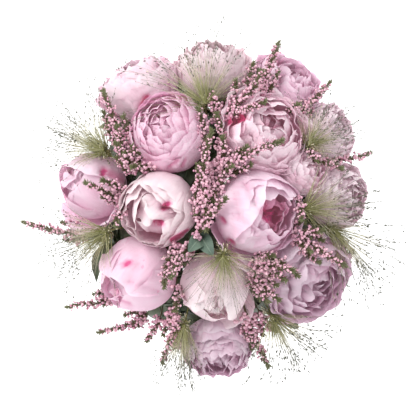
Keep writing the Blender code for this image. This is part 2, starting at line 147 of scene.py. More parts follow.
# Side shoots of the heather, in mm: the heather they branch from, then the shoot's points.
SHOOTS = (
    ("14", ((-6, -7, 208), (-11, 24, 224), (-8, 58, 229), (-1, 82, 233))),
    ("14", ((-14, -12, 206), (-17, 18, 222), (-15, 46, 226))),
    ("14", ((-17, -25, 210), (-4, -8, 227), (13, 10, 238))),
    ("14", ((4, 18, 204), (10, 34, 222), (20, 44, 232))),
    ("13", ((-8, 66, 204), (-10, 88, 221), (-16, 106, 232))),
    ("13", ((6, 92, 204), (2, 112, 222), (-2, 126, 228))),
    ("13", ((10, 60, 198), (9, 80, 216), (4, 100, 226))),
    ("14", ((8, 34, 200), (11, 56, 218), (10, 76, 226))),
    ("12", ((12, 94, 206), (28, 113, 226), (44, 130, 236), (52, 148, 240))),
    ("12", ((16, 99, 208), (34, 105, 228), (56, 113, 240))),
    ("12", ((40, 112, 204), (38, 134, 222), (44, 158, 230))),
    ("11", ((88, 98, 200), (84, 106, 222), (92, 112, 230))),
    ("11", ((100, 66, 198), (106, 58, 220), (112, 50, 228))),
    ("10", ((104, 46, 198), (118, 50, 216), (140, 44, 224))),
    ("01", ((-88, 48, 204), (-98, 62, 222), (-104, 88, 228))),
    ("01", ((-78, 46, 202), (-86, 56, 222), (-94, 58, 232))),
    ("01", ((-66, 40, 202), (-76, 44, 222), (-86, 44, 230))),
    ("02", ((-92, 14, 202), (-104, 24, 224), (-118, 30, 236))),
    ("02", ((-92, 0, 200), (-100, -6, 220), (-104, -18, 226))),
    ("15", ((-22, -38, 206), (-33, -52, 224), (-42, -70, 231))),
    ("15", ((-38, -46, 202), (-48, -58, 220), (-52, -84, 230))),
    ("15", ((-34, -84, 200), (-38, -98, 218), (-40, -110, 224))),
    ("06", ((-40, -118, 194), (-38, -136, 208), (-42, -152, 216))),
    ("05", ((-58, -120, 190), (-66, -136, 202), (-74, -148, 210))),
    ("07", ((34, -120, 196), (38, -138, 206), (46, -152, 212))),
    ("07", ((50, -112, 196), (58, -126, 206), (70, -136, 210))),
    ("08", ((46, -56, 204), (58, -66, 226), (76, -76, 240))),
    ("08", ((40, -62, 202), (48, -80, 224), (58, -100, 236))),
    ("08", ((56, -52, 204), (72, -58, 226), (90, -72, 240))),
    ("09", ((88, -26, 202), (94, -38, 222), (104, -46, 234))),
    ("09", ((84, 8, 202), (92, 2, 222), (94, -12, 228))),
)

# Grass, in mm: root, knot, then the fan's direction and half-width in degrees and its hairs' lengths.
GRASS = {
    "01": ((-8, 108, 205), (-8, 112, 224), 108, 52, 66, 104),
    "02": ((-112, 57, 203), (-119, 63, 222), 148, 40, 52, 88),
    "03": ((-111, -24, 200), (-116, -27, 216), 212, 40, 52, 84),
    "04": ((99, 64, 203), (103, 68, 222), 40, 44, 40, 66),
    "05": ((94, -2, 203), (98, -1, 222), 8, 38, 52, 84),
    "06": ((122, -19, 198), (127, -22, 216), -42, 27, 64, 108),
    "07": ((12, -43, 205), (10, -51, 235), -92, 52, 46, 72),
    "08": ((-30, -122, 196), (-31, -128, 212), -98, 22, 56, 84),
    "09": ((62, -113, 198), (64, -118, 212), -58, 34, 50, 84),
}

# How a grass head looks: the size of its grains, how many hairs it has beside the usual, how thick the
# long hairs are and how thin any hair may get, and every how many hairs one is long.
Head = namedtuple("Head", "grain crowd thick thin pace")
FULL = Head(0.90, 1.10, 1.863, 0.6, 3)
AIRY = Head(0.80, 1.45, 1.472, 0.6, 2)
STURDY = Head(1.10, 0.90, 2.178, 1.0, 3)
HEAD_OF = {"02": AIRY, "03": AIRY, "05": STURDY, "06": STURDY, "09": STURDY}

# Leaves on the peony stems, in mm: the bloom, how far below it, the midrib, the half-width.
LEAVES = {
    "left": ("11", 44, ((-112, -40, 330), (-128, -56, 340), (-131, -84, 328)), 6),
    "right": ("13", 42, ((78, -104, 322), (86, -120, 314), (97, -139, 302)), 12),
    "front": ("14", 44, ((-24, -112, 292), (-44, -124, 286), (-66, -132, 274)), 11),
    "back": ("03", 44, ((34, 108, 292), (52, 128, 290), (66, 150, 280)), 11),
}

# Clumps of leaves in the gaps between the blooms: their places in plan in mm, before they are drawn in
# towards the middle, the reach of those places, and how many leaves each has.
GAPS = (
    (-42, 120), (-32, 112), (-60, -112), (45, 146), (108, 110), (136, 52), (124, -32), (56, -122),
    (-40, -128), (-112, -26), (-118, 86), (-31, -149), (65, -137), (-77, -143), (-134, 78), (-138, -43),
    (-39, 160), (-66, -134), (-2, 84), (-34, 44),
)  # fmt: skip
GAP_REACH, GAP_LEAVES = 200, 7

# The stem under each of those clumps: shares of the way out from the middle, and the rise there.
TWIG = ((0.02, 0.0), (0.40, 0.010), (0.66, 0.006), (0.80, 0.0))

# The eucalyptus sprig, in mm: its root, and the midribs of its two leaves.
SPRIG = (
    (-12, -32, 205),
    (((-11, -33, 213), (-6, -41, 221), (0, -50, 228)), ((-17, -35, 220), (-26, -46, 230))),
)
SPRIG_LEAF = 7.5  # half-width

# A whorl of petals, as shares of the bloom's radius: how many, a petal's half-width, the widest radius
# of its curve, the radius and height of its rim, how much the rim waves, and how far the petal lies
# over the top of the bloom.
Whorl = namedtuple("Whorl", "petals wide bulge rim top wave over")

# The whorls of each habit, from the outside in.
HABITS = {
    "ball": (
        (3, 1.15, 1.00, 0.22, 0.93, 0.022, 1.0),
        (3, 1.05, 0.94, -0.05, 0.89, 0.025, 1.0),
        (3, 1.00, 0.88, -0.30, 0.83, 0.030, 1.0),
    ),
    "nest": (
        (4, 0.95, 1.00, 0.80, 0.66, 0.022, 0.8),
        (4, 0.95, 0.98, 0.68, 0.80, 0.035, 0.9),
        (4, 0.90, 0.93, 0.56, 0.86, 0.055, 0.9),
        (3, 1.00, 0.84, 0.10, 0.92, 0.040, 1.0),
        (3, 0.95, 0.76, -0.25, 0.86, 0.040, 1.0),
    ),
    "layered": (
        (5, 0.88, 1.00, 0.86, 0.56, 0.022, 0.6),
        (5, 0.86, 0.98, 0.72, 0.72, 0.026, 0.9),
        (5, 0.80, 0.95, 0.59, 0.82, 0.034, 1.0),
        (6, 0.68, 0.91, 0.47, 0.88, 0.044, 1.0),
        (6, 0.56, 0.86, 0.35, 0.92, 0.050, 1.0),
        (6, 0.50, 0.80, 0.23, 0.95, 0.050, 1.0),
        (5, 0.46, 0.72, 0.12, 0.95, 0.050, 1.0),
        (4, 0.42, 0.62, 0.02, 0.90, 0.045, 1.0),
        (3, 0.44, 0.52, -0.10, 0.84, 0.040, 1.0),
    ),
    "cup": (
        (4, 0.95, 1.00, 0.66, 0.77, 0.025, 0.9),
        (4, 0.95, 0.98, 0.48, 0.87, 0.035, 1.0),
        (4, 0.86, 0.93, 0.33, 0.90, 0.050, 1.0),
        (5, 0.62, 0.80, 0.27, 0.80, 0.070, 0.8),
        (5, 0.48, 0.62, 0.18, 0.70, 0.080, 0.7),
        (4, 0.36, 0.45, 0.06, 0.62, 0.080, 0.8),
        (3, 0.34, 0.36, -0.06, 0.54, 0.060, 1.0),
    ),
    "open": (
        (5, 0.90, 0.92, 1.12, 0.28, 0.050, 0.1),
        (5, 0.90, 0.95, 0.97, 0.54, 0.055, 0.3),
        (5, 0.86, 0.94, 0.76, 0.72, 0.060, 0.8),
        (5, 0.76, 0.90, 0.56, 0.83, 0.065, 1.0),
        (4, 0.68, 0.84, 0.36, 0.89, 0.070, 1.0),
        (4, 0.54, 0.72, 0.18, 0.91, 0.070, 1.0),
        (4, 0.42, 0.58, 0.06, 0.84, 0.065, 1.0),
        (3, 0.40, 0.50, -0.10, 0.78, 0.055, 1.0),
    ),
    "fluffy": (
        (6, 0.80, 1.00, 0.98, 0.38, 0.050, 0.2),
        (6, 0.76, 0.97, 0.82, 0.60, 0.060, 0.5),
        (7, 0.64, 0.93, 0.66, 0.76, 0.066, 0.9),
        (7, 0.56, 0.88, 0.50, 0.86, 0.072, 1.0),
        (6, 0.48, 0.82, 0.34, 0.92, 0.078, 1.0),
        (5, 0.40, 0.72, 0.18, 0.94, 0.080, 1.0),
        (4, 0.36, 0.58, 0.05, 0.86, 0.065, 1.0),
        (3, 0.36, 0.48, -0.08, 0.80, 0.055, 1.0),
    ),
}

# How each bloom looks: its habit, its colours, the direction in plan and the angle in degrees that its
# mouth turns to, how much wider than its frame node its petals spread, how far in mm it is lifted, and
# how deep the colour of its innermost petals is.
Habit = namedtuple("Habit", "kind colours way turn swell lift heart")
HABIT_OF = {
    "01": Habit("open", "blush", 110, 18, 1.20, 0, 0.0),
    "02": Habit("layered", "rose", -60, 8, 1.08, 0, 0.06),
    "03": Habit("fluffy", "cream", 90, 6, 1.09, 0, 0.05),
    "04": Habit("open", "lilac", -100, 8, 1.09, 0, 0.05),
    "05": Habit("open", "blush", -120, 6, 1.22, 5, 0.0),
    "06": Habit("fluffy", "dusk", 0, 0, 1.07, 0, 0.05),
    "07": Habit("fluffy", "dusk", 180, 6, 1.09, 0, 0.12),
    "08": Habit("cup", "lilac", -20, 12, 1.15, 0, 0.85),
    "09": Habit("nest", "cream", -140, 14, 1.12, 0, 0.15),
    "10": Habit("ball", "lilac", 30, 4, 1.18, 0, 0.0),
    "11": Habit("ball", "lilac", 200, 14, 1.14, 0, 0.0),
    "12": Habit("ball", "cream", -90, 10, 1.18, 0, 0.0),
    "13": Habit("open", "mauve", 150, 8, 1.13, 0, 0.1),
    "14": Habit("fluffy", "mauve", 90, 16, 1.11, 0, 0.1),
    "15": Habit("open", "blush", 60, 8, 1.50, 13, 0.05),
}

# Folds in the petals, in mm: the bloom, the place in plan from its centre, the direction in degrees,
# then the length, the half-width, the depth, and how much painted shade darkens its crease.
FOLDS = (
    ("01", (8, -22), 60, 14, 4.0, 5, 2.4),
    ("01", (18, -25), 110, 10, 3.5, 4, 1.2),
    ("01", (-14, 24), 20, 26, 3.0, 4, 0.4),
    ("02", (4, -34), 35, 14, 1.5, 3, 0.9),
    ("02", (15, -33), 60, 9, 1.5, 2, 0.9),
    ("02", (-26, -26), -40, 16, 3.0, 2, 0.3),
    ("05", (-32, 15), 20, 12, 4.5, 4, 3.0),
    ("05", (4, 14), 165, 20, 3.0, 4, 0.7),
    ("05", (-20, -16), 80, 24, 4.0, 4, 0.2),
    ("08", (-37, -9), -50, 7, 2.2, 3, 1.3),
    ("08", (-28, -33), -40, 6, 2.6, 3, 1.4),
    ("08", (-8, 20), -65, 26, 3.5, 5, 0.3),
    ("08", (-24, 8), -80, 22, 4.0, 4, 0.3),
    ("08", (11, -4), -35, 12, 6.5, 9, 0.7),
    ("09", (9, 2), 35, 6, 3.2, 9, 2.6),
    ("09", (-1, -20), -5, 8, 3.4, 10, 2.6),
    ("09", (23, -31), 28, 20, 2.8, 3, 2.6),
    ("09", (0, 20), 5, 24, 2.6, 3, 0.1),
    ("10", (16, 14), 75, 6, 2.4, 5, 2.0),
    ("10", (32, 6), -25, 20, 5.0, 3, 0.9),
    ("10", (-30, -18), 95, 8, 2.6, 3, 1.8),
    ("10", (-4, 0), 150, 40, 5.0, 5, 0.3),
    ("11", (-9, 14), 40, 6, 2.8, 4, 2.6),
    ("11", (4, 24), 95, 18, 4.6, 3, 0.1),
    ("11", (-28, -16), -60, 12, 4.5, 7, 0.8),
    ("11", (-14, -30), -20, 14, 3.5, 5, 0.7),
    ("11", (8, -12), -15, 34, 4.0, 4, 0.25),
    ("08", (-14, -14), -35, 26, 3.5, 4, 0.25),
    ("08", (4, -32), 10, 20, 3.5, 4, 0.25),
    ("11", (-2, 2), 60, 22, 4.5, 4, 0.2),
    ("12", (2, -12), 97, 26, 2.0, 6, 0.45),
    ("12", (14, -22), 60, 18, 2.6, 5, 0.2),
    ("12", (-14, -24), 130, 16, 2.6, 4, 0.2),
    ("12", (-4, 10), 15, 26, 3.0, 2, 0.1),
    ("13", (-12, 12), 50, 26, 4.0, 5, 0.1),
    ("13", (4, -14), 20, 14, 4.0, 5, 0.3),
    ("13", (-24, -6), 110, 20, 4.0, 4, 0.1),
    ("04", (-10, 0), 70, 20, 4.0, 5, 0.2),
    ("14", (0, 10), 10, 24, 3.0, 3, 0.2),
)

# Loose petals that stand out of a bloom: direction in plan in degrees, then the rest of the whorl that
# each is the only petal of.
LOOSE = {
    "01": (
        (195, 0.50, 1.00, 1.24, 0.30, 0.04, 0.0),
        (160, 0.50, 1.00, 1.16, 0.40, 0.04, 0.0),
        (-70, 0.60, 1.00, 1.10, 0.10, 0.04, 0.0),
        (0, 0.70, 1.00, 1.16, 0.30, 0.04, 0.0),
    ),
    "03": (
        (10, 0.80, 1.00, 1.20, 0.30, 0.05, 0.0),
        (160, 0.70, 1.00, 1.14, 0.30, 0.05, 0.0),
    ),
    "04": (
        (165, 0.80, 1.00, 1.18, 0.50, 0.03, 0.2),
        (100, 0.70, 1.00, 1.16, 0.40, 0.04, 0.1),
        (-40, 0.60, 1.00, 1.20, 0.30, 0.05, 0.0),
    ),
    "05": (
        (5, 0.66, 1.00, 1.24, 0.36, 0.05, 0.0),
        (-25, 0.60, 1.00, 1.14, 0.30, 0.05, 0.0),
        (190, 0.80, 1.00, 1.26, 0.50, 0.05, 0.1),
        (225, 0.80, 1.00, 1.34, 0.34, 0.05, 0.0),
        (255, 0.55, 0.95, 0.98, 0.66, 0.07, 0.1),
        (150, 0.70, 1.00, 1.18, 0.50, 0.05, 0.1),
    ),
    "08": (
        (-62, 0.70, 1.00, 1.40, 0.02, 0.03, 0.0),
        (-98, 0.64, 1.00, 1.34, -0.02, 0.03, 0.0),
        (-130, 0.56, 1.00, 1.22, 0.05, 0.04, 0.0),
        (55, 0.50, 1.00, 1.16, 0.20, 0.04, 0.0),
    ),
    "10": (
        (-95, 0.80, 1.00, 1.36, 0.00, 0.03, 0.0),
        (-65, 0.66, 1.00, 1.26, 0.10, 0.03, 0.0),
        (-130, 0.70, 1.00, 1.22, 0.10, 0.03, 0.0),
    ),
    "12": (
        (-60, 0.66, 1.00, 1.20, 0.15, 0.03, 0.0),
        (30, 0.60, 1.00, 1.12, 0.20, 0.03, 0.0),
    ),
    "13": (
        (0, 0.52, 1.00, 1.26, 0.14, 0.04, 0.0),
        (-35, 0.58, 1.00, 1.24, 0.06, 0.04, 0.0),
        (105, 0.85, 1.00, 1.14, 0.50, 0.02, 0.3),
        (-110, 0.66, 1.00, 1.16, 0.16, 0.04, 0.0),
        (165, 0.80, 1.00, 1.14, 0.42, 0.03, 0.2),
    ),
    "14": (
        (20, 0.66, 1.00, 1.18, 0.20, 0.05, 0.0),
        (160, 0.66, 1.00, 1.18, 0.20, 0.05, 0.0),
    ),
}


def draws(kind, number=0):
    """The random draws of one piece."""
    return np.random.default_rng(SEEDS[kind] + int(number))


def smooth(share):
    """An even rise from 0 to 1 with level ends."""
    share = np.clip(share, 0.0, 1.0)
    return share * share * (3 - 2 * share)


def turn_and_spread(height):
    """How far the bundle has turned and widened at a height above the tie."""
    turned = height if height < 0 else TWIST_REACH * (1 - math.exp(-height / TWIST_REACH))
    return TWIST * turned, 1 + FLARE * float(smooth(height / FLARE_TOP))


def flow(slot, height):
    """Where the stem that crosses the tie at slot has got to, at a height above the tie."""
    turn, spread = turn_and_spread(height)
    x, y = slot
    return Vector((spread * (x - turn * y), spread * (y + turn * x), TIE_Z + height))


def slot_under(point):
    """The place in the tie whose stem would pass through a point."""
    turn, spread = turn_and_spread(point.z - TIE_Z)
    scale = spread * (1 + turn * turn)
    return ((point.x + turn * point.y) / scale, (point.y - turn * point.x) / scale)


def settle_slots(wanted, radii):
    """Moves the stems' places in the tie until they lie close together and none overlap."""
    places, radii = np.array(wanted), np.array(radii)
    apart = (radii[:, None] + radii[None]) * LEAN_ROOM + GAP
    np.fill_diagonal(apart, 0)
    for step in range(SETTLE_STEPS):
        squeeze = SQUEEZE if step < SQUEEZE_STEPS else 0.0
        places -= places * squeeze
        between = places[:, None] - places[None]
        distance = np.linalg.norm(between, axis=2) + 1e-9
        push = np.maximum(0, apart - distance) / distance
        places += PUSH * (between * push[:, :, None]).sum(axis=1)
    return [tuple(place) for place in places]


def on_dome(x, y, reach):
    """The point above a place in the plan, in mm, at a reach from the middle of the dome."""
    rise = math.sqrt(max(0.0, reach * reach - x * x - y * y))
    return Vector((x * MM, y * MM, FOCUS_Z + rise * MM))


def under_dome(root):
    """The point where a spray's stem branches off the spiral, on the way out to its root."""
    return Vector((0, 0, FOCUS_Z)).lerp(root, BRANCH_AT)


def bloom_place(row):
    """A bloom's centre, the way it faces, its radius and its depth."""
    (x, y), off, radius, depth, _opening, lean = row
    centre = on_dome(x, y, BLOOM_REACH / MM + off)
    axis = (centre - Vector((0, 0, FOCUS_Z))).normalized() + Vector((lean[0], lean[1], 0))
    return centre, axis.normalized(), radius * MM, radius * depth * MM


def bloom_tops(row):
    """The points that a peony's stem rises to: its neck, and the foot of its bloom."""
    centre, axis, _radius, depth = bloom_place(row)
    foot = centre - axis * (depth + GAP)
    return [foot - axis * 2 * NECK, foot - axis * NECK, foot]


def through(points, steps):
    """A smooth curve through points, with a number of steps between each two."""
    ends = [2 * points[0] - points[1], *points, 2 * points[-1] - points[-2]]
    line = []
    for a, b, c, d in zip(ends, ends[1:], ends[2:], ends[3:]):
        for k in range(steps):
            t = k / steps
            square, cube = 2 * a - 5 * b + 4 * c - d, 3 * b - a - 3 * c + d
            line.append(0.5 * (2 * b + (c - a) * t + square * t**2 + cube * t**3))
    return [*line, points[-1]]


def stalk(slot, tops, steps):
    """A stem's line from its cut end, up the spiral, and on through the points it rises to."""
    rise = tops[0].z - TIE_Z
    miss = tops[0] - flow(slot, rise)
    below = [flow(slot, -TIE_Z * (1 - k / BELOW_TIE)) for k in range(BELOW_TIE)]
    shares = [k / ABOVE_TIE for k in range(ABOVE_TIE)]
    return below + [flow(slot, rise * t) + miss * t**EASE for t in shares] + through(tops, steps)


def respace(path, step):
    """The same line with its points an even step apart, as an array."""
    path = np.array([tuple(p) for p in path])
    along = np.concatenate([[0.0], np.cumsum(np.linalg.norm(np.diff(path, axis=0), axis=1))])
    places = np.linspace(0, along[-1], max(2, round(along[-1] / step) + 1))
    return np.stack([np.interp(places, along, path[:, k]) for k in range(3)], axis=1)


def curve(points, steps, step):
    """A smooth line through points, as an array whose points are an even step apart."""
    return respace(through(points, steps), step)


def unit(v):
    """Directions of length 1."""
    return v / (np.linalg.norm(v, axis=-1, keepdims=True) + 1e-12)


def stem_radius(row):
    """The radius of a peony's stem."""
    return PEONY_STEM * (SMALL_STEM if row[2] < SMALL_BLOOM else 1.0)


def tie_slots():
    """Each stem's place in the tie, by name."""
    wanted = {f"peony_{n}": (bloom_tops(row)[0], stem_radius(row)) for n, row in BLOOMS.items()}
    sprays = (
        ("heather", HEATHER, HEATHER_STEM),
        ("grass", GRASS, GRASS_STEM),
        ("sprig", {"01": SPRIG}, SPRIG_STEM),
    )
    for kind, rows, radius in sprays:
        for n, row in rows.items():
            wanted[f"{kind}_{n}"] = (under_dome(on_dome(*row[0])), radius)
    radii = [radius for _point, radius in wanted.values()]
    places = settle_slots([slot_under(point) for point, _radius in wanted.values()], radii)
    return dict(zip(wanted, places))


SLOTS = tie_slots()
TIE_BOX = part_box("twine_tie")
MIDDLE = np.array((TIE_BOX[0] + TIE_BOX[1]) / 2) * (1, 1, 0)  # the tables' own middle, in the frame


# ---------------------------------------------------------------- meshes

CELL_MARGIN = 0.06  # round each patch in its cell
TUBE_MARGIN = 0.05  # the share of a tube's cell that each closed end takes
FRONT_SCALE, BACK_SHIFT = (0.47, 1.0), (0.53, 0.0)  # the two sides of a shell share one cell
SHARP_ANGLE = math.radians(75)
OFF_AXIS = (0.31, 0.95, 0.11)  # a direction that no stem runs in


class Gather:
    """Collects patches of points and faces for one mesh, and lays each out in a cell of its own."""

    shares = ("along", "across", "deep", "tone")

    def __init__(self):
        self.points, self.faces, self.spots, self.cells = [], [], [], []
        self.values = {name: [] for name in self.shares}
        self.count = self.patches = 0

    def add(self, points, sides, **values):
        """One patch: its points, and pairs of faces and the faces' places in a unit cell."""
        self.points.append(points)
        for faces, spots in sides:
            self.faces.append(faces + self.count)
            self.spots.append(spots)
            self.cells.append(np.full(len(faces), self.patches))
        for name in self.shares:
            value = np.asarray(values.get(name, 0.0), float).ravel()
            self.values[name].append(np.broadcast_to(value, (len(points),)))
        self.count += len(points)
        self.patches += 1

    def object(self, name, finish, slot, replaced=()):
        """The mesh as a piece that rides on the body."""
        across = math.ceil(math.sqrt(self.patches))
        mesh = bpy.data.meshes.new(name)
        points = np.concatenate(self.points) + MIDDLE
        sizes, corners, spots = [], [], []
        for faces, spot, cells in zip(self.faces, self.spots, self.cells):
            cell = np.stack([cells % across, cells // across], axis=1)[:, None]
            spots.append(((cell + CELL_MARGIN + (1 - 2 * CELL_MARGIN) * spot) / across).reshape(-1, 2))
            corners.append(faces.ravel())
            sizes.append(np.full(len(faces), faces.shape[1]))
        sizes, corners = np.concatenate(sizes), np.concatenate(corners)
        mesh.vertices.add(len(points))
        mesh.vertices.foreach_set("co", points.astype(np.float32).ravel())
        mesh.loops.add(len(corners))
        mesh.loops.foreach_set("vertex_index", corners.astype(np.int32))
        mesh.polygons.add(len(sizes))
        starts = np.concatenate([[0], np.cumsum(sizes)[:-1]])
        mesh.polygons.foreach_set("loop_start", starts.astype(np.int32))
        mesh.update(calc_edges=True)
        layer = mesh.uv_layers.new(name="OFBake")
        layer.uv.foreach_set("vector", np.concatenate(spots).astype(np.float32).ravel())
        for share in self.shares:
            attribute = mesh.attributes.new(share, "FLOAT", "POINT")
            attribute.data.foreach_set("value", np.concatenate(self.values[share]).astype(np.float32))
        mesh.shade_smooth()
        mesh.set_sharp_from_angle(angle=SHARP_ANGLE)
        mesh.materials.append(finish)
        piece = bpy.data.objects.new(name, mesh)
        bpy.context.scene.collection.objects.link(piece)
        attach(piece, BODY)
        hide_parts(*replaced)


def corners_of(grid):
    """The four corners of each cell of a grid of numbers or of places."""
    corners = np.stack([grid[:-1, :-1], grid[:-1, 1:], grid[1:, 1:], grid[1:, :-1]], axis=2)
    return corners.reshape(-1, 4, *grid.shape[2:])


def index_of(rows, cols):
    """The numbers of a grid's points."""
    return np.arange(rows * cols).reshape(rows, cols)


def seamless(spots):
    """Face places whose first axis doesn't jump back at the seam."""
    first = spots[..., 0]
    wraps = (np.ptp(first, axis=1) > 0.5)[:, None]
    spots[..., 0] = np.where(wraps & (first < 0.25), 1.0, first)
    return spots


def normals_of(grid):
    """The normals of a grid of points."""
    return unit(np.cross(np.gradient(grid, axis=1), np.gradient(grid, axis=0)))


def add_shell(gather, grid, thickness, inner=None, normals=None, **values):
    """A closed thin petal: the grid, and the same grid moved inwards, which share their border."""
    rows, cols = grid.shape[:2]
    index = index_of(rows, cols)
    front = corners_of(index)
    spots = corners_of(np.stack(np.meshgrid(np.linspace(0, 1, cols), np.linspace(0, 1, rows)), axis=-1))
    inward = grid - (normals_of(grid) if normals is None else normals) * thickness
    index[1:-1, 1:-1] = rows * cols + index_of(rows - 2, cols - 2)
    back = corners_of(index)[:, ::-1]
    points = np.concatenate([grid.reshape(-1, 3), inward[1:-1, 1:-1].reshape(-1, 3)])
    both = {}
    for name, value in values.items():
        value = np.broadcast_to(value, (rows, cols))
        inside = np.broadcast_to(inner[name], (rows, cols)) if inner and name in inner else value
        both[name] = np.concatenate([value.ravel(), inside[1:-1, 1:-1].ravel()])
    sides = ((front, spots * FRONT_SCALE), (back, spots[:, ::-1] * FRONT_SCALE + BACK_SHIFT))
    gather.add(points, sides, **both)


def tube_sides(count, sides):
    """The faces of a tube of rings whose two end points come last, and the faces' places in a cell."""
    index = index_of(count, sides)
    after = np.roll(index, -1, axis=1)
    foot, head = np.full(sides, index.size), np.full(sides, index.size + 1)
    quads = corners_of(np.concatenate([index, index[:, :1]], axis=1))
    fans = [np.stack([after[0], index[0], foot], -1), np.stack([index[-1], after[-1], head], -1)]
    around, along = np.meshgrid(np.arange(sides) / sides, np.linspace(TUBE_MARGIN, 1 - TUBE_MARGIN, count))
    spots = np.concatenate([np.stack([around, along], -1).reshape(-1, 2), [(0, 0), (0, 1)]])
    return [(faces, seamless(spots[faces])) for faces in (quads, np.concatenate(fans))]


def around_axis(sides):
    """The cosines and sines of a ring of points, as columns."""
    angles = np.linspace(0, 2 * np.pi, sides, endpoint=False)
    return np.cos(angles)[:, None], np.sin(angles)[:, None]


def add_tube(gather, path, radii, sides, flat_end=False, **values):
    """A closed round tube along an array of points. flat_end cuts its first end level with the floor."""
    count = len(path)
    ways = unit(np.gradient(path, axis=0))
    spoke = unit(np.cross(ways[0], OFF_AXIS))
    cos, sin = around_axis(sides)
    rings = []
    for point, way, radius in zip(path, ways, np.broadcast_to(radii, (count,))):
        spoke = unit(spoke - way * spoke.dot(way))
        rings.append(point + radius * (cos * spoke + sin * np.cross(way, spoke)))
    if flat_end:
        rings[0] = rings[0] - ways[0] * ((rings[0][:, 2] - path[0][2]) / ways[0][2])[:, None]
    foot = rings[0].mean(0) if flat_end else path[0]
    shares = {}
    for name, value in values.items():
        value = np.broadcast_to(value, (count,))
        shares[name] = np.concatenate([np.repeat(value, sides), [value[0], value[-1]]])
    gather.add(np.concatenate([*rings, [foot, path[-1]]]), tube_sides(count, sides), **shares)


def lathe(profile, sides):
    """A closed turned shape on the X axis from (place, radius) pairs, the first and the last on it."""
    cos, sin = around_axis(sides)
    first, *middle, last = profile
    rings = [np.hstack([0 * cos + place, radius * cos, radius * sin]) for place, radius in middle]
    ends = [(first[0], 0, 0), (last[0], 0, 0)]
    return np.concatenate([*rings, ends]), tube_sides(len(rings), sides)


def stamp(gather, shape, places, ways, sizes, tones, rng):
    """Copies of a turned shape, each with its X axis along a way."""
    points, sides = shape
    ways = unit(np.asarray(ways, float))
    side = unit(np.cross(ways, unit(rng.normal(size=ways.shape))))
    turns = np.stack([ways, side, np.cross(ways, side)], axis=-1)
    along = (points[:, 0] - points[:, 0].min()) / np.ptp(points[:, 0])
    for place, size, turn, tone in zip(places, sizes, turns, tones):
        gather.add(place + (points * size) @ turn.T, sides, along=along, tone=tone)


# ---------------------------------------------------------------- finishes


class Value:
    """A node's output. Arithmetic on it adds Math nodes."""

    def __init__(self, look, socket):
        self.look, self.socket = look, socket

    def math(self, operation, first, second):
        """The result of a Math node."""
        return self.look.add("ShaderNodeMath", {"operation": operation}, {0: first, 1: second})

    def __add__(self, other):
        return self.math("ADD", self, other)

    def __sub__(self, other):
        return self.math("SUBTRACT", self, other)

    def __mul__(self, other):
        return self.math("MULTIPLY", self, other)

    def __rsub__(self, other):
        return self.math("SUBTRACT", other, self)

    __radd__, __rmul__ = __add__, __mul__


class Look:
    """A material under construction."""

    def __init__(self, name):
        self.material = bpy.data.materials.new(name)
        self.material.use_nodes = True
        self.tree = self.material.node_tree
        self.tree.nodes.clear()

    def add(self, kind, settings=None, inputs=None, output=0):
        """One node: its settings first, then the values or links of its sockets."""
        node = self.tree.nodes.new(kind)
        for name, value in (settings or {}).items():
            setattr(node, name, value)
        for name, value in (inputs or {}).items():
            if isinstance(value, Value):
                self.tree.links.new(value.socket, node.inputs[name])
            else:
                node.inputs[name].default_value = value
        return Value(self, node.outputs[output]) if node.outputs else None

    def share(self, name):
        """A mesh's own value."""
        return self.add("ShaderNodeAttribute", {"attribute_name": name}, output="Fac")

    def mix(self, share, first, second):
        """One colour over another."""
        inputs = {0: share, 6: first, 7: second}
        return self.add("ShaderNodeMix", {"data_type": "RGBA"}, inputs, output=2)

    def step(self, value, low, high):
        """A smooth step between two values."""
        inputs = {"Value": value, "From Min": low, "From Max": high}
        return self.add("ShaderNodeMapRange", {"interpolation_type": "SMOOTHSTEP"}, inputs)

    def place(self):
        """Where a point of the surface is."""
        return self.add("ShaderNodeTexCoord", output="Object")

    def noise(self, place, scale, detail=2.0, roughness=0.5):
        """Soft random patches."""
        inputs = {"Vector": place, "Scale": scale, "Detail": detail, "Roughness": roughness}
        return self.add("ShaderNodeTexNoise", inputs=inputs)

    def strands(self, across, along, tone):
        """A place whose noise runs in strands along a piece."""
        return self.add("ShaderNodeCombineXYZ", inputs={"X": across, "Y": along, "Z": tone})

    def bump(self, height, strength, distance):
        """The relief of the surface."""
        inputs = {"Height": height, "Strength": strength, "Distance": distance}
        return self.add("ShaderNodeBump", inputs=inputs)

    def shade(self, colour, roughness, normal=None, glow=None, **constants):
        """The shader itself. glow is the colour and the share of light that comes through."""
        inputs = {"Base Color": colour, "Roughness": roughness}
        if normal:
            inputs["Normal"] = normal
        for name, value in constants.items():
            inputs[name.replace("_", " ").title()] = value
        shader = self.add("ShaderNodeBsdfPrincipled", inputs=inputs)
        if glow:
            through_it = self.add("ShaderNodeBsdfTranslucent", inputs={"Color": glow[0]})
            shader = self.add("ShaderNodeMixShader", inputs={0: glow[1], 1: shader, 2: through_it})
        self.add("ShaderNodeOutputMaterial", inputs={"Surface": shader})
        return self.material


def solid(colour):
    """A colour with its alpha."""
    return (*colour[:3], 1.0)


# A painted glow: the petals give off a little light of their own, in their glow colour.
PETAL_PAINTED_GLOW = 0.045  # for the light that comes through a petal many times over


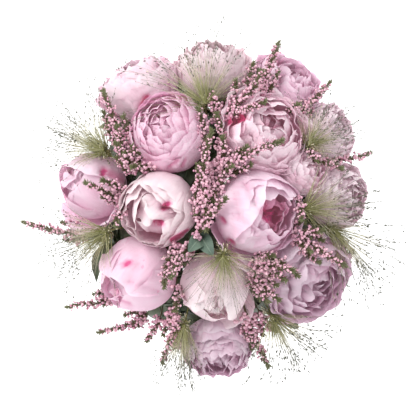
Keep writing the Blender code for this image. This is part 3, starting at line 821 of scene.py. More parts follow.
def petal_finish(name, colours):
    """Petal: pale at the rim, deeper between the petals and in its hollows, mostly as painted shade, with
    soft veins along it.
    """
    look = Look(name)
    along, across = look.share("along"), look.share("across")
    deep, tone = look.share("deep"), look.share("tone")
    patches = look.noise(look.place(), 38.0, 2.0, 0.5)
    veins = look.noise(look.strands(across * 7.0, along * 0.9, tone * 31.0), 2.6, 3.0, 0.6)
    flecks = look.noise(look.place(), 420.0, 2.0, 0.6)
    wrinkles = look.noise(look.strands(across * 3.0, along * 3.4, tone * 17.0), 2.8, 3.0, 0.55)
    warmth = look.step(patches * 0.50 + veins * 0.35 + tone * 0.25 + wrinkles * 0.10, 0.42, 0.76)
    colour = look.mix(warmth * 0.85, solid(colours.pale), solid(colours.warm))
    streak = look.step(veins, 0.58, 0.78) * look.step(along, 1.0, 0.25)
    colour = look.mix(streak * 0.30, colour, solid(colours.deep))
    rim = look.step(along + (veins - 0.5) * 0.10, 0.88, 0.985)
    depth = deep + (veins - 0.5) * 0.30
    colour = look.mix(rim * 0.5, colour, solid(colours.rim))
    # Painted shade: the petal turns deep pink where it lies between or inside other petals, and crimson in
    # the deepest hollows and creases.
    colour = look.mix(look.step(depth, 0.10, 0.85), colour, solid(colours.deep))
    colour = look.mix(look.step(depth, 0.75, 1.35), colour, solid(colours.core))
    colour = look.mix(look.step(flecks, 0.45, 0.75) * 0.10, colour, solid(colours.warm))
    height = veins * 0.6 + wrinkles * 0.8 + flecks * 0.2
    # The Translucent mix lets light through the petal; the emission on top is a painted glow.
    return look.shade(
        colour,
        0.52,
        look.bump(height, 0.6, 0.0018),
        (solid(colours.glow), colours.through),
        emission_color=solid(colours.glow),
        emission_strength=PETAL_PAINTED_GLOW,
    )


# ---------------------------------------------------------------- properties


def tint(name, default, description):
    """A colour that a user may change."""
    return FloatVectorProperty(
        name=name, description=description, subtype="COLOR", size=3, min=0, max=1, default=default
    )


def measure(name, description, default, low, high, units="NONE"):
    """A number that a user may change."""
    return FloatProperty(name=name, description=description, default=default, min=low, max=high, unit=units)


def amount(name, description, default, low, high):
    """A count that a user may change."""
    return IntProperty(name=name, description=description, default=default, min=low, max=high)


# The petals' colourings: most of a petal, its patches and veins, between the petals (also painted shade),
# near their base (also the darkest painted shade, in hollows and creases), the edge, and the light that
# comes through.
PETALS = {
    "blush": (
        (0.95, 0.87, 0.90), (0.93, 0.70, 0.79), (0.87, 0.46, 0.60),
        (0.66, 0.03, 0.17), (0.94, 0.87, 0.90), (0.92, 0.76, 0.83),
    ),
    "rose": (
        (0.96, 0.82, 0.90), (0.93, 0.62, 0.76), (0.88, 0.42, 0.60),
        (0.80, 0.14, 0.38), (0.93, 0.82, 0.89), (0.92, 0.66, 0.79),
    ),
    "cream": (
        (0.92, 0.83, 0.85), (0.90, 0.72, 0.79), (0.88, 0.53, 0.67),
        (0.72, 0.02, 0.22), (0.94, 0.90, 0.89), (0.90, 0.79, 0.81),
    ),
    "lilac": (
        (0.92, 0.81, 0.88), (0.89, 0.64, 0.77), (0.85, 0.42, 0.59),
        (0.72, 0.05, 0.25), (0.92, 0.84, 0.89), (0.92, 0.74, 0.83),
    ),
    "mauve": (
        (0.84, 0.74, 0.80), (0.78, 0.55, 0.67), (0.68, 0.34, 0.50),
        (0.58, 0.15, 0.33), (0.86, 0.79, 0.84), (0.82, 0.64, 0.74),
    ),
    "dusk": (
        (0.95, 0.88, 0.90), (0.92, 0.76, 0.82), (0.84, 0.58, 0.68),
        (0.66, 0.26, 0.38), (0.90, 0.85, 0.87), (0.90, 0.78, 0.83),
    ),
}  # fmt: skip
PETAL_PARTS = {
    "pale": "Most of the petal",
    "warm": "Patches and veins",
    "deep": "Between the petals",
    "core": "Near the petals' base",
    "rim": "The edge of the petal",
    "glow": "Light that comes through the petal",
}


def petal_group(kind):
    """The properties of one petal colouring."""
    parts = zip(PETAL_PARTS.items(), PETALS[kind])
    properties = {part: tint(part.title(), colour, about) for (part, about), colour in parts}
    properties["through"] = measure("Through", "Share of light that comes through", 0.38, 0, 1)
    return type(f"{kind.title()}Petals", (bpy.types.PropertyGroup,), {"__annotations__": properties})


PETAL_GROUPS = {kind: petal_group(kind) for kind in PETALS}


class GreenColours(bpy.types.PropertyGroup):
    """Colours of the stems and leaves"""

    stem: tint("Stem", (0.115, 0.185, 0.050), "Peony stems")
    stem_blush: tint("Stem blush", (0.20, 0.10, 0.06), "Reddish streaks on the stems")
    cut: tint("Cut end", (0.46, 0.50, 0.26), "Pith of the cut stems")
    leaf: tint("Leaf", (0.034, 0.043, 0.018), "Peony leaves")
    leaf_vein: tint("Leaf vein", (0.10, 0.155, 0.070), "Veins of the leaves")
    eucalyptus: tint("Eucalyptus", (0.045, 0.085, 0.062), "Eucalyptus leaves")
    eucalyptus_vein: tint("Eucalyptus vein", (0.20, 0.27, 0.20), "Midribs of the eucalyptus leaves")


class HeatherColours(bpy.types.PropertyGroup):
    """Colours and sizes of the heather"""

    bell: tint("Bell", (0.88, 0.55, 0.64), "Pale side of a bell")
    # The bell's base: painted shade where it hangs on.
    bell_base_shade: tint("Dark bell", (0.36, 0.10, 0.16), "Base of a bell")
    needle: tint("Needle", (0.100, 0.085, 0.040), "Needle leaves")
    tip: tint("Tip", (0.16, 0.18, 0.080), "Young needles at the tip")
    bells_per_mm: measure("Bells per mm", "How densely the bells stand along a shoot", 0.66, 0.1, 5)
    bell_length: measure("Bell length", "Length of a bell", 0.0036, 0.001, 0.01, "LENGTH")


class GrassColours(bpy.types.PropertyGroup):
    """Colours and sizes of the grass"""

    hair: tint("Hair", (0.55, 0.50, 0.38), "Hairs of the grass heads")
    hair_base: tint("Hair base", (0.170, 0.175, 0.034), "Hairs near their knot")
    grain: tint("Grain", (0.055, 0.058, 0.032), "Dark spikelets")
    grain_pale: tint("Pale grain", (0.70, 0.64, 0.45), "Pale spikelets")
    hairs: amount("Hairs", "Hairs in one head", 240, 10, 400)
    knot_grains: amount("Knot grains", "Grains round a knot", 110, 0, 400)
    hair_radius: measure("Hair radius", "Radius of a hair", 0.00010, 0.00005, 0.001, "LENGTH")


class TwineColours(bpy.types.PropertyGroup):
    """Colours and sizes of the twine"""

    fibre: tint("Fibre", (0.52, 0.38, 0.21), "Twine")
    shade: tint("Shade", (0.24, 0.15, 0.07), "Between the strands")
    strand: measure("Strand", "Radius of the twine", 0.00135, 0.0005, 0.003, "LENGTH")
    turns: amount("Turns", "Turns of twine", 5, 1, 12)


class StageSettings(bpy.types.PropertyGroup):
    """The floor, the lights and the camera"""

    floor: tint("Floor", (0.86, 0.86, 0.86), "Floor")
    floor_glow: measure("Floor glow", "Light the floor gives", 0.55, 0, 2)
    sky: measure("Sky", "Even light from all round", 1.22, 0, 3)
    key: measure("Key", "Window light", 20.0, 0, 500, "POWER")
    camera_height: measure("Camera height", "Above the floor", 1.932, 0.5, 10, "LENGTH")
    lens: measure("Lens", "Focal length", 123.4, 10, 400, "CAMERA")


class BunchSettings(bpy.types.PropertyGroup):
    """All the settings of the bunch"""

    green: PointerProperty(type=GreenColours)
    heather: PointerProperty(type=HeatherColours)
    grass: PointerProperty(type=GrassColours)
    twine: PointerProperty(type=TwineColours)
    stage: PointerProperty(type=StageSettings)
    petal_thickness: measure("Petal thickness", "Thickness of a petal", 0.00055, 0.0001, 0.002, "LENGTH")


for kind, group in PETAL_GROUPS.items():
    BunchSettings.__annotations__[kind] = PointerProperty(type=group)


# ---------------------------------------------------------------- peonies

# Points across and along a petal: a wide one, then a narrow one in an outer and in an inner whorl.
WIDE_PETAL, INNER_LEVEL = 0.8, 5
WIDE_GRID, OUTER_GRID, INNER_GRID = (27, 23), (19, 17), (13, 13)
ROW_CROWDING = 0.85

# A petal's shape, in shares of its bloom's radius.
RIM_STRAY, TOP_STRAY, TOP_LIFT, WIDTH_STRAY = 0.75 * 0.045, 0.030, 0.02, (0.88, 1.08)
ROUNDING, ROUNDING_POWER = 0.13, 3.2
FRAY, FRAY_RATE = 0.030, 1.6
NOTCH_CHANCE, NOTCH_DEPTH, NOTCH_PLACE, NOTCH_WIDTH = 0.35, (0.03, 0.08), (-0.4, 0.4), 0.18
FOOT_RADIUS, FOOT_HEIGHT, FOOT_RISE = 0.05, -0.94, 0.35
MOST_WRAP, LEAST_RADIUS, LEAST_REACH = 1.5, 0.22, 0.3
TUCK, SWAY, CURL, CURL_STRAY = 0.035, 0.8, 0.055, (-0.3, 1.2)
FLUTES, FLUTE_RATE, CRUMPLE, CRUMPLE_RATE = 0.015, 2.2, 0.012, 1.7

# The waves that make up a ripple: how high and how quick each is, and what their sum is shared by.
WAVES, WAVE_SHARE = ((1.0, 0.9), (0.65, 1.9), (0.30, 3.7), (0.13, 7.1)), 1.4

# Folds reach this much further on one side of their line than on the other, in half-widths; the last caps
# their painted shade.
FOLD_FAR, FOLD_NEAR, FOLD_LEAST, FOLD_LEVEL, MOST_CREASE_SHADE = 1.4, 0.7, 2.2, 0.3, 1.5

# How evenly petals stand round a whorl, how they lean, and from which whorl on the heart's colour shows.
SPACING_STRAY, LEAN_STRAY, LEAN_STRAY_STEP = 0.12, 0.05, 0.02
HEART_LEVEL, HEART_SPREAD = 2.8, 2


def ripple(rng, u, pitch):
    """A smooth random wave across a petal."""
    wave = 0 * u
    for size, rate in WAVES:
        wave = wave + size * np.sin(np.pi * rate * pitch * u + rng.uniform(0, 2 * np.pi))
    return wave / WAVE_SHARE


def petal_grid(rng, whorl, lift, level):
    """One petal of a whorl in the bloom's own space, centred on the X axis, with its shares."""
    cols, rows = WIDE_GRID if whorl.wide > WIDE_PETAL else OUTER_GRID if level < INNER_LEVEL else INNER_GRID
    u = np.linspace(-1, 1, cols)[None, :]
    v = np.linspace(0, 1, rows)[:, None] ** ROW_CROWDING
    rim = whorl.rim + lift * RIM_STRAY
    top = whorl.top + rng.normal(0, TOP_STRAY) + lift * TOP_LIFT
    wide = whorl.wide * rng.uniform(*WIDTH_STRAY)
    fray = FRAY * (1 + ripple(rng, u, FRAY_RATE)) * (0.4 + whorl.wave * 10)
    edge = 1 - ROUNDING * np.abs(u) ** ROUNDING_POWER - fray
    if rng.random() < NOTCH_CHANCE:
        depth, place = rng.uniform(*NOTCH_DEPTH), rng.uniform(*NOTCH_PLACE)
        edge = edge - depth * np.exp(-(((u - place) / NOTCH_WIDTH) ** 2))
    # The petal's side view is a curve with four control points, from its foot to its rim.
    t = v * edge
    base = FOOT_HEIGHT + FOOT_RISE * (1 - whorl.bulge)
    controls = (
        (FOOT_RADIUS, base), (whorl.bulge * 1.08, base + 0.02), (whorl.bulge * 1.14, top * 0.42), (rim, top)
    )  # fmt: skip
    weights = ((1 - t) ** 3, 3 * t * (1 - t) ** 2, 3 * t**2 * (1 - t), t**3)
    r, h = (sum(w * p[k] for w, p in zip(weights, controls)) for k in (0, 1))
    # It wraps round the bloom's axis at the foot, and lies over the bloom's middle further up.
    half = wide * (0.10 + 0.90 * np.sin(np.pi / 2 * np.minimum(1, t / 0.6)) ** 0.9)
    angle = np.clip(u * half / np.maximum(r, LEAST_RADIUS), -MOST_WRAP, MOST_WRAP)
    upright = np.stack([r * np.cos(angle), r * np.sin(angle), h + 0 * u], -1)
    reach = np.sqrt(r * r + h * h)
    arc = u * half / np.maximum(reach, LEAST_REACH)
    over_it = np.stack([r * np.cos(arc), reach * np.sin(arc), h * np.cos(arc)], -1)
    blend = (whorl.over * smooth(t))[..., None]
    grid = upright * (1 - blend) + over_it * blend
    # Waves, flutes, crumples and a curled rim move it in and out.
    rise = smooth((t - 0.35) / 0.65) ** 1.4
    pitch = rng.uniform(0.8, 1.3) * (0.8 + whorl.wide * 0.8)
    wave = whorl.wave * rise * ripple(rng, u + 0.25 * t, pitch)
    sway = whorl.wave * SWAY * rise * ripple(rng, u, pitch * 1.3)
    tuck = rng.choice((-1, 1)) * TUCK
    flutes = FLUTES * smooth(t / 0.3) * (0.4 + t) * ripple(rng, u + 0.3 * t, FLUTE_RATE)
    crumple = CRUMPLE * rise * ripple(rng, t * 2.0 + 0.4 * u, CRUMPLE_RATE)
    curl = CURL * smooth((t - 0.86) / 0.14) * rng.uniform(*CURL_STRAY)
    outward = unit(grid * (1, 1, 0.3))
    grid = grid + outward * (wave + curl + flutes + crumple + tuck * u * rise)[..., None]
    grid[..., 2] += sway
    return grid, t + 0 * u, np.abs(u) + 0 * t, np.clip(top - grid[..., 2], 0, 2)


def turned(points, way, turn):
    """Points of a bloom with its mouth turned towards a direction, more the higher they lie."""
    share = math.radians(turn) * smooth((points[..., 2] + 0.8) / 1.6)
    axis = np.array((-math.sin(way), math.cos(way), 0.0))
    cos, sin = np.cos(share)[..., None], np.sin(share)[..., None]
    along = (points @ axis)[..., None] * axis
    return points * cos + np.cross(np.broadcast_to(axis, points.shape), points) * sin + along * (1 - cos)


def tilted(points, angle):
    """Points turned about the X axis."""
    c, s = math.cos(angle), math.sin(angle)
    return points @ np.array(((1, 0, 0), (0, c, s), (0, -s, c)))


def spin(points, angle):
    """Points turned about the Z axis."""
    c, s = math.cos(angle), math.sin(angle)
    return points @ np.array(((c, s, 0), (-s, c, 0), (0, 0, 1)))


def bloom_frame(row):
    """The bloom's centre and its own axes, the first as nearly along X as may be."""
    centre, axis, radius, depth = bloom_place(row)
    side = (X_AXIS - axis * axis.x).normalized()
    other = axis.cross(side)
    return np.array(centre), np.array((side, other, axis)), radius, depth / radius


def fold_in(points, centre, radius, number, level):
    """A bloom's points pressed in along its folds, and how deep in a fold each of them lies, which darkens
    it as painted shade.
    """
    crease_shade = np.zeros(points.shape[:-1])
    for owner, place, facing, length, half, depth, colour in FOLDS:
        if owner != number:
            continue
        way = np.array((math.cos(math.radians(facing)), math.sin(math.radians(facing))))
        out = (points[..., :2] - centre[:2]) / MM - place
        along, aside = out @ way, out @ (-way[1], way[0])
        beyond = np.maximum(0, np.abs(along) - length / 2)
        near = np.where(aside > 0, FOLD_FAR * half, np.maximum(FOLD_NEAR * half, FOLD_LEAST))
        share = np.exp(-((aside / near) ** 2) - (beyond / half) ** 2)
        share = share * smooth((points[..., 2] - centre[2]) / (0.2 * radius))
        pressed = (depth * MM * (1 + FOLD_LEVEL * level) * share)[..., None]
        points = points - unit(points - centre) * pressed
        # Painted shade in the crease, as strong as the fold's last column says.
        crease_shade = crease_shade + share * colour
    return points, np.minimum(crease_shade, MOST_CREASE_SHADE)


def petals_of(number, kind, rng):
    """A bloom's petals: each one's whorl, the whorl's number from the outside, and the direction."""
    rows = []
    for level, whorl in enumerate(Whorl(*row) for row in HABITS[kind]):
        start = rng.uniform(0, 2 * np.pi)
        for k in range(whorl.petals):
            share = (k + rng.uniform(-SPACING_STRAY, SPACING_STRAY)) / whorl.petals
            rows.append((level, whorl, start + 2 * np.pi * share))
    return rows + [(0, Whorl(1, *rest), math.radians(angle)) for angle, *rest in LOOSE.get(number, ())]


def make_bloom(number, settings, finishes):
    """All the petals of one bloom, as one piece."""
    habit, rng = HABIT_OF[number], draws("bloom", number)
    centre, axes, radius, depth = bloom_frame(BLOOMS[number])
    radius = radius * habit.swell
    centre = centre + axes[2] * habit.lift * MM
    gather = Gather()
    for level, whorl, angle in petals_of(number, habit.kind, rng):
        grid, along, across, below = petal_grid(rng, whorl, rng.normal(), level)
        grid = spin(tilted(grid, rng.normal(0, LEAN_STRAY + LEAN_STRAY_STEP * level)), angle)
        sunk = np.clip(1 - np.linalg.norm(grid, axis=-1), 0, 1)
        grid[..., 2] *= depth
        grid = turned(grid, math.radians(habit.way), habit.turn)
        plain = centre + radius * (grid @ axes)
        placed, crease_shade = fold_in(plain, centre, radius, number, level)
        # The deep share: painted shade where a petal lies sunk inside the bloom, below its whorl's rim, on
        # its inner side and in the folds' creases, plus the innermost petals' own deeper colour.
        heart = habit.heart * smooth((level - HEART_LEVEL) / HEART_SPREAD)
        outside = 0.45 * sunk + (0.6 * below if level > 1 else 0) + crease_shade + heart
        inside = {"deep": 0.6 * sunk + 0.9 * below + 0.6 * crease_shade + heart}
        shares = {"along": along, "across": across, "deep": outside, "tone": rng.random()}
        add_shell(gather, placed, settings.petal_thickness, inside, normals_of(plain), **shares)
    gather.object(f"peony_{number}_petals", finishes[habit.colours], "petal", [f"peony_{number}_bloom"])


class PEONY_OT_blooms(bpy.types.Operator):
    """Grows the petals of every peony"""

    bl_idname = "peony.blooms"
    bl_label = "Peony Petals"

    def execute(self, context):
        settings = context.scene.bunch
        finishes = {kind: petal_finish(f"petal_{kind}", getattr(settings, kind)) for kind in PETALS}
        for number in BLOOMS:
            make_bloom(number, settings, finishes)
        return {"FINISHED"}


# ---------------------------------------------------------------- stems and leaves


def stem_finish(green):
    """Green stem with streaks along it, reddish in places, and a pale cut end."""
    look = Look("peony_stem")
    along, tone = look.share("along"), look.share("tone")
    place = look.place()
    drawn_out = look.add("ShaderNodeVectorMath", {"operation": "MULTIPLY"}, {0: place, 1: (1.0, 1.0, 0.06)})
    streaks = look.noise(drawn_out, 900.0, 3.0)
    patches = look.noise(place, 24.0, 2.0)
    colour = look.mix(look.step(streaks, 0.35, 0.7) * 0.5, solid(green.stem), solid(green.leaf_vein))
    blush = look.step(patches * 0.7 + streaks * 0.3 + tone * 0.2, 0.52, 0.72)
    colour = look.mix(blush * 0.55, colour, solid(green.stem_blush))
    colour = look.mix(look.step(along, 0.004, 0.0), colour, solid(green.cut))
    return look.shade(colour, 0.42, look.bump(streaks, 0.3, 0.0004))


def leaf_finish(name, face, vein, roughness):
    """Leaf: a paler midrib and side veins, with paler patches here and there."""
    look = Look(name)
    along, across, tone = look.share("along"), look.share("across"), look.share("tone")
    patches = look.noise(look.place(), 90.0, 3.0)
    ribs = look.add(
        "ShaderNodeTexWave",
        {"wave_type": "BANDS", "bands_direction": "X"},
        {"Vector": look.strands(along * 3.2 - across * 0.9, 0.0, 0.0), "Scale": 1.1, "Distortion": 0.6},
        output=1,
    )
    rib = look.step(across, 0.10, 0.02)
    veins = look.step(ribs, 0.90, 0.99) * 0.5
    colour = look.mix(look.step(patches + tone * 0.3, 0.4, 0.85) * 0.45, face, vein)
    colour = look.mix(rib * 0.7 + veins * 0.45, colour, vein)
    return look.shade(colour, roughness, look.bump(rib * 0.8 + veins * 0.4 + patches * 0.2, 0.5, 0.0008))


LEAF_POINTS = 9  # across a leaf
SHELL = 0.0006  # how thick a leaf or a sepal is
THIN_SHELL = 0.0005  # how thick a leaf inside the bunch is
SPRAY_STEP = 0.003  # between the points of a spray's stem
TWIG_RADII = (0.0011, 0.0006)
LEAF_STEP, STALK_STEP, STALK_RADII = 0.0025, 0.002, (0.0013, 0.0009)
SPRIG_STEP = 0.0012
LEAF_SWELL, SPRIG_SWELL = 1.1, 1.15  # blades are a little wider than their tables say
SWELL_LENGTH, ROUND_LENGTH, ROUNDED = 0.010, 0.002, 0.3  # a stem's end swells, then rounds off


def leaf_grid(midrib, half, up, rng, cols=LEAF_POINTS, point=1.0, fold=0.25, wave=0.0):
    """A leaf as a grid about its midrib, with a fold along it."""
    midrib = np.asarray(midrib, float)
    count = len(midrib)
    ways = unit(np.gradient(midrib, axis=0))
    wide = unit(np.cross(ways, up))
    face = np.cross(wide, ways)
    t = np.linspace(0, 1, count)[:, None]
    u = np.linspace(-1, 1, cols)[None, :]
    width = half * np.maximum(np.sin(np.pi * t**0.75) ** point, 0.03)
    grid = midrib[:, None] + wide[:, None] * (u * width)[..., None]
    waves = wave * half * np.sin(9 * t + rng.uniform(0, 6) + 2 * u)
    rise = np.abs(u) * (width * fold + waves)
    grid = grid + face[:, None] * rise[..., None]
    return grid, t + 0 * u, np.abs(u) + 0 * t


# Sepals: how many a bloom has, then in shares of its radius how far out they lie, how wide their foot
# is, how deep it lies and their half-width, and how far round the bloom their tips come.
SEPALS, SEPAL_REACH, SEPAL_FOOT, SEPAL_DROP, SEPAL_HALF = 5, 1.03, 0.04, 1.01, 0.26
SEPAL_TIP = math.radians(62)

# Leaves tucked in below a bloom: how many, how far down the first is and the rest follow, their length,
# then in shares of it their half-width and how they rise and sag.
TUCKED, FIRST_TUCKED, TUCKED_GAP, TUCKED_LENGTH = 7, 0.010, 0.009, 0.058
TUCKED_HALF, TUCKED_RISE, TUCKED_SAG = 0.20, 0.32, 0.42

# Leaves round a spray's stem: how many, at what share of the way out they stand, their length, then in
# shares of it their half-width, how much of it lies behind the stem, and how they rise and sag.
SPRAY_LEAVES, SPRAY_LEAF_AT, SPRAY_LEAF_LENGTH = 8, (0.72, 0.85), (0.034, 0.046)
SPRAY_LEAF_HALF, SPRAY_LEAF_BACK, SPRAY_LEAF_RISE, SPRAY_LEAF_SAG = 0.27, 0.35, 0.25, 0.45


def sepals(gather, row, rng):
    """Green sepals that hold the foot of a bloom."""
    centre, axes, radius, depth = bloom_frame(row)
    u = np.linspace(-1, 1, 7)[None, :]
    t = np.linspace(0, 1, 9)[:, None]
    r, h = SEPAL_REACH * np.sin(SEPAL_TIP * t) + SEPAL_FOOT, -SEPAL_DROP * np.cos(SEPAL_TIP * t)
    spread = u * SEPAL_HALF * np.sin(np.pi * np.clip(t * 0.93 + 0.05, 0, 1)) ** 0.8
    across = r * np.sin(spread / 0.9) + spread * 0.4
    blade = np.stack([r * np.cos(spread / 0.9), across, h + 0 * u], -1)
    for k in range(SEPALS):
        grid = spin(blade, 2 * np.pi * (k + 0.2 * rng.normal()) / SEPALS)
        grid[..., 2] *= depth
        placed = centre + radius * SEPAL_REACH * (grid @ axes)
        add_shell(gather, placed, SHELL, along=0.3 + 0 * t, across=np.abs(u) + 0 * t, tone=rng.random())


def tuck_leaves(gather, path, rng):
    """Leaves that spring from a stem below its bloom and lie between the stems."""
    for k in range(TUCKED):
        spot = path[-1 - int((FIRST_TUCKED + TUCKED_GAP * k) / STEM_STEP)]
        out = unit(spot * (1, 1, 0) + rng.normal(0, 0.02, 3))
        side = np.cross(out, UP) * (1 if k % 2 else -1)
        way = unit(out * rng.uniform(-0.3, 0.45) + side * rng.uniform(0.6, 1.1) + 0.25 * UP)
        length = TUCKED_LENGTH * rng.uniform(0.8, 1.15)
        share = np.linspace(0, 1, 12)[:, None]
        arch = TUCKED_RISE * share - TUCKED_SAG * share**2
        midrib = spot + way * length * share + UP * length * arch
        grid, along, across = leaf_grid(midrib, length * TUCKED_HALF, UP, rng, wave=0.12)
        add_shell(gather, grid, THIN_SHELL, along=along, across=across, tone=rng.random())


def spray_leaves(gather, root, rng, count, stem=()):
    """Dark leaves round a spray's stem, under the blooms that it comes out between."""
    root = np.array(root)
    focus = FOCUS_Z * UP
    out = unit(root - focus)
    if stem:
        points = [Vector(focus + (root - focus) * share + rise * UP) for share, rise in stem]
        line = curve(points, 8, SPRAY_STEP)
        radii = np.linspace(*TWIG_RADII, len(line))
        add_tube(gather, line, radii, 6, along=0.5, across=0.0, tone=0.2)
    side = unit(np.cross(out, rng.normal(size=3)))
    other = np.cross(out, side)
    for k in range(count):
        angle = 2 * np.pi * (k + rng.uniform(-0.25, 0.25)) / count
        spot = focus + (root - focus) * rng.uniform(*SPRAY_LEAF_AT)
        way = unit(np.cos(angle) * side + np.sin(angle) * other + out * rng.uniform(-0.1, 0.35))
        length = rng.uniform(*SPRAY_LEAF_LENGTH)
        share = np.linspace(0, 1, 10)[:, None]
        arch = SPRAY_LEAF_RISE * share - SPRAY_LEAF_SAG * share**2
        midrib = spot + way * length * (share - SPRAY_LEAF_BACK) + out * length * arch
        grid, along, across = leaf_grid(midrib, length * SPRAY_LEAF_HALF, out, rng, cols=7, wave=0.10)
        add_shell(gather, grid, THIN_SHELL, along=along, across=across, tone=rng.random())


def stem_path(number):
    """A peony stem's line, its radii, and the share of its length at each point."""
    row = BLOOMS[number]
    radius = stem_radius(row)
    swell = RECEPTACLE * (SMALL_RECEPTACLE if row[2] < SMALL_BLOOM else 1.0)
    path = respace(through(stalk(SLOTS[f"peony_{number}"], bloom_tops(row), 2), 4), STEM_STEP)
    to_end = STEM_STEP * np.arange(len(path))[::-1]
    rounding = 1 - ROUNDED * smooth(1 - to_end / ROUND_LENGTH)
    radii = radius + (swell - radius) * smooth(1 - to_end / SWELL_LENGTH) * rounding
    return path, radii, np.linspace(0, 1, len(path))


class PEONY_OT_stems(bpy.types.Operator):
    """Grows the peony stems, their sepals and the leaves tucked between them"""

    bl_idname = "peony.stems"
    bl_label = "Peony Stems"

    def execute(self, context):
        green = context.scene.bunch.green
        finish = stem_finish(green)
        leaf = leaf_finish("tucked_leaf", solid(green.leaf), solid(green.leaf_vein), 0.45)
        foliage = Gather()
        for number, row in BLOOMS.items():
            rng = draws("stem", number)
            path, radii, along = stem_path(number)
            stem = Gather()
            add_tube(stem, path, radii, 12, flat_end=True, along=along, tone=rng.random())
            sepals(stem, row, rng)
            stem.object(f"peony_{number}_stem_detail", finish, "stem", [f"peony_{number}_stem"])
            tuck_leaves(foliage, path, rng)
        for rows in (HEATHER, GRASS):
            for number, row in rows.items():
                spray_leaves(foliage, on_dome(*row[0]), draws("spray", number), SPRAY_LEAVES)
        for k, (x, y) in enumerate(GAPS):
            spray_leaves(foliage, on_dome(x, y, GAP_REACH), draws("gap", k), GAP_LEAVES, TWIG)
        foliage.object("tucked_leaves", leaf, "leaf")
        return {"FINISHED"}


class PEONY_OT_leaves(bpy.types.Operator):
    """Grows the peony leaves that show at the edge of the bunch"""

    bl_idname = "peony.leaves"
    bl_label = "Peony Leaves"

    def execute(self, context):
        green = context.scene.bunch.green
        finish = leaf_finish("peony_leaf", solid(green.leaf), solid(green.leaf_vein), 0.38)
        for name, (number, below, ribs, half) in LEAVES.items():
            rng = draws("leaf", len(name))
            path, _radii, _along = stem_path(number)
            spot = path[-1 - round(below * MM / STEM_STEP)]
            points = [Vector(p) * MM for p in ribs]
            gather = Gather()
            line = curve([Vector(spot), points[0]], 6, STALK_STEP)
            add_tube(gather, line, np.linspace(*STALK_RADII, len(line)), 8, along=0.5, tone=0.5)
            midrib = curve(points, 8, LEAF_STEP)
            grid, along, across = leaf_grid(midrib, half * MM * LEAF_SWELL, UP, rng, wave=0.08)
            add_shell(gather, grid, SHELL, along=along, across=across, tone=rng.random())
            gather.object(f"peony_leaf_{name}_blade", finish, "leaf", [f"peony_leaf_{name}"])
        return {"FINISHED"}


class PEONY_OT_sprig(bpy.types.Operator):
    """Grows the eucalyptus sprig"""

    bl_idname = "peony.sprig"
    bl_label = "Eucalyptus Sprig"

    def execute(self, context):
        green = context.scene.bunch.green
        finish = leaf_finish("eucalyptus", solid(green.eucalyptus), solid(green.eucalyptus_vein), 0.55)
        rng = draws("sprig")
        place, leaves = SPRIG
        root = on_dome(*place)
        path = curve(stalk(SLOTS["sprig_01"], [under_dome(root), root], 3), 4, SPRAY_STEP)
        half = SPRIG_LEAF * MM * SPRIG_SWELL
        gather = Gather()
        add_tube(gather, path, SPRIG_STEM, 8, flat_end=True, along=0.6, across=0.5, tone=0.2)
        for number, leaf in enumerate(leaves):
            midrib = curve([root, *[on_dome(*p) for p in leaf]], 8, SPRIG_STEP)
            grid, along, across = leaf_grid(midrib, half, UP, rng, point=0.7, fold=0.18)
            add_shell(gather, grid, SHELL, along=along, across=across, tone=0.2 + 0.5 * number)
        gather.object("eucalyptus_sprig_leaves", finish, "eucalyptus", ["eucalyptus_sprig"])
        return {"FINISHED"}


# ---------------------------------------------------------------- heather and grass

BELL = lathe(((-0.12, 0), (0.0, 0.18), (0.2, 0.42), (0.5, 0.54), (0.8, 0.42), (1.0, 0.20), (0.90, 0)), 8)
NEEDLE = lathe(((0.0, 0), (0.15, 0.10), (0.55, 0.11), (1.0, 0)), 4)
GRAIN = lathe(((0.0, 0), (0.35, 0.15), (0.7, 0.11), (1.0, 0)), 5)

DULL_BELL, BELL_GLOW, NEEDLE_BLOTCH = (0.62, 0.30, 0.42), (0.85, 0.40, 0.50), (0.16, 0.08, 0.035)
SPIKE_RADII, SHOOT_RADII = (0.0009, 0.0004), (0.0005, 0.0003)  # at the foot and at the tip
BRANCH_RADIUS = 0.0008  # the stretch of a branch that has no bells
SHOOTS_PER_MM, NEEDLES_PER_MM = 0.5, 4.5
SHOOT_TURN, SHOOT_TURN_STRAY = 2.4, 0.35  # from one side shoot to the next round the spike, in radians
SHOOTS_TO = 0.90  # share of the spike that carries side shoots
SPIKE_STEP = 0.002  # between the points of a spike
BELL_HANG, BELL_LOSS = 0.0004, 0.38  # how far a bell hangs off its shoot, and how bells shrink to the tip

# A side shoot's length: the least, what any shoot and a bushy one add to it, how much of that is lost
# towards the spike's tip, and how far it bends up.
SHOOT_LEAST, SHOOT_GAIN, SHOOT_BUSHY_GAIN, SHOOT_LOSS, SHOOT_BEND = 0.0030, 0.0016, 0.0052, 0.85, 0.25
NEEDLE_LEAST, NEEDLE_MOST, NEEDLE_BUSHY_GAIN = 0.0030, 0.0048, 0.0025  # lengths, and a bushy spike's gain
TIP_NEEDLES, TIP_NEEDLE, TIP_SHARE = 26, 0.0042, 0.10  # the leafy tip: its needles, their length, its share
SPIKES_APART, SPIKE_DROP = 0.0095, 0.007  # how far a second spike stands beside the first, and below it


def bell_finish(colours):
    """Heather bell: darkened with painted shade where it hangs on, pale at its mouth."""
    look = Look("heather_bell")
    along, tone = look.share("along"), look.share("tone")
    blotch = look.noise(look.place(), 600.0, 2.0)
    pale = look.mix(look.step(tone, 0.35, 1.0) * 0.9, solid(colours.bell), solid(DULL_BELL))
    # Painted shade: the bell darkens towards the end where it hangs on its shoot.
    rise = look.step(along + (blotch - 0.5) * 0.3, 0.05, 0.60)
    colour = look.mix(rise, solid(colours.bell_base_shade), pale)
    return look.shade(colour, 0.5, None, (solid(BELL_GLOW), 0.15))


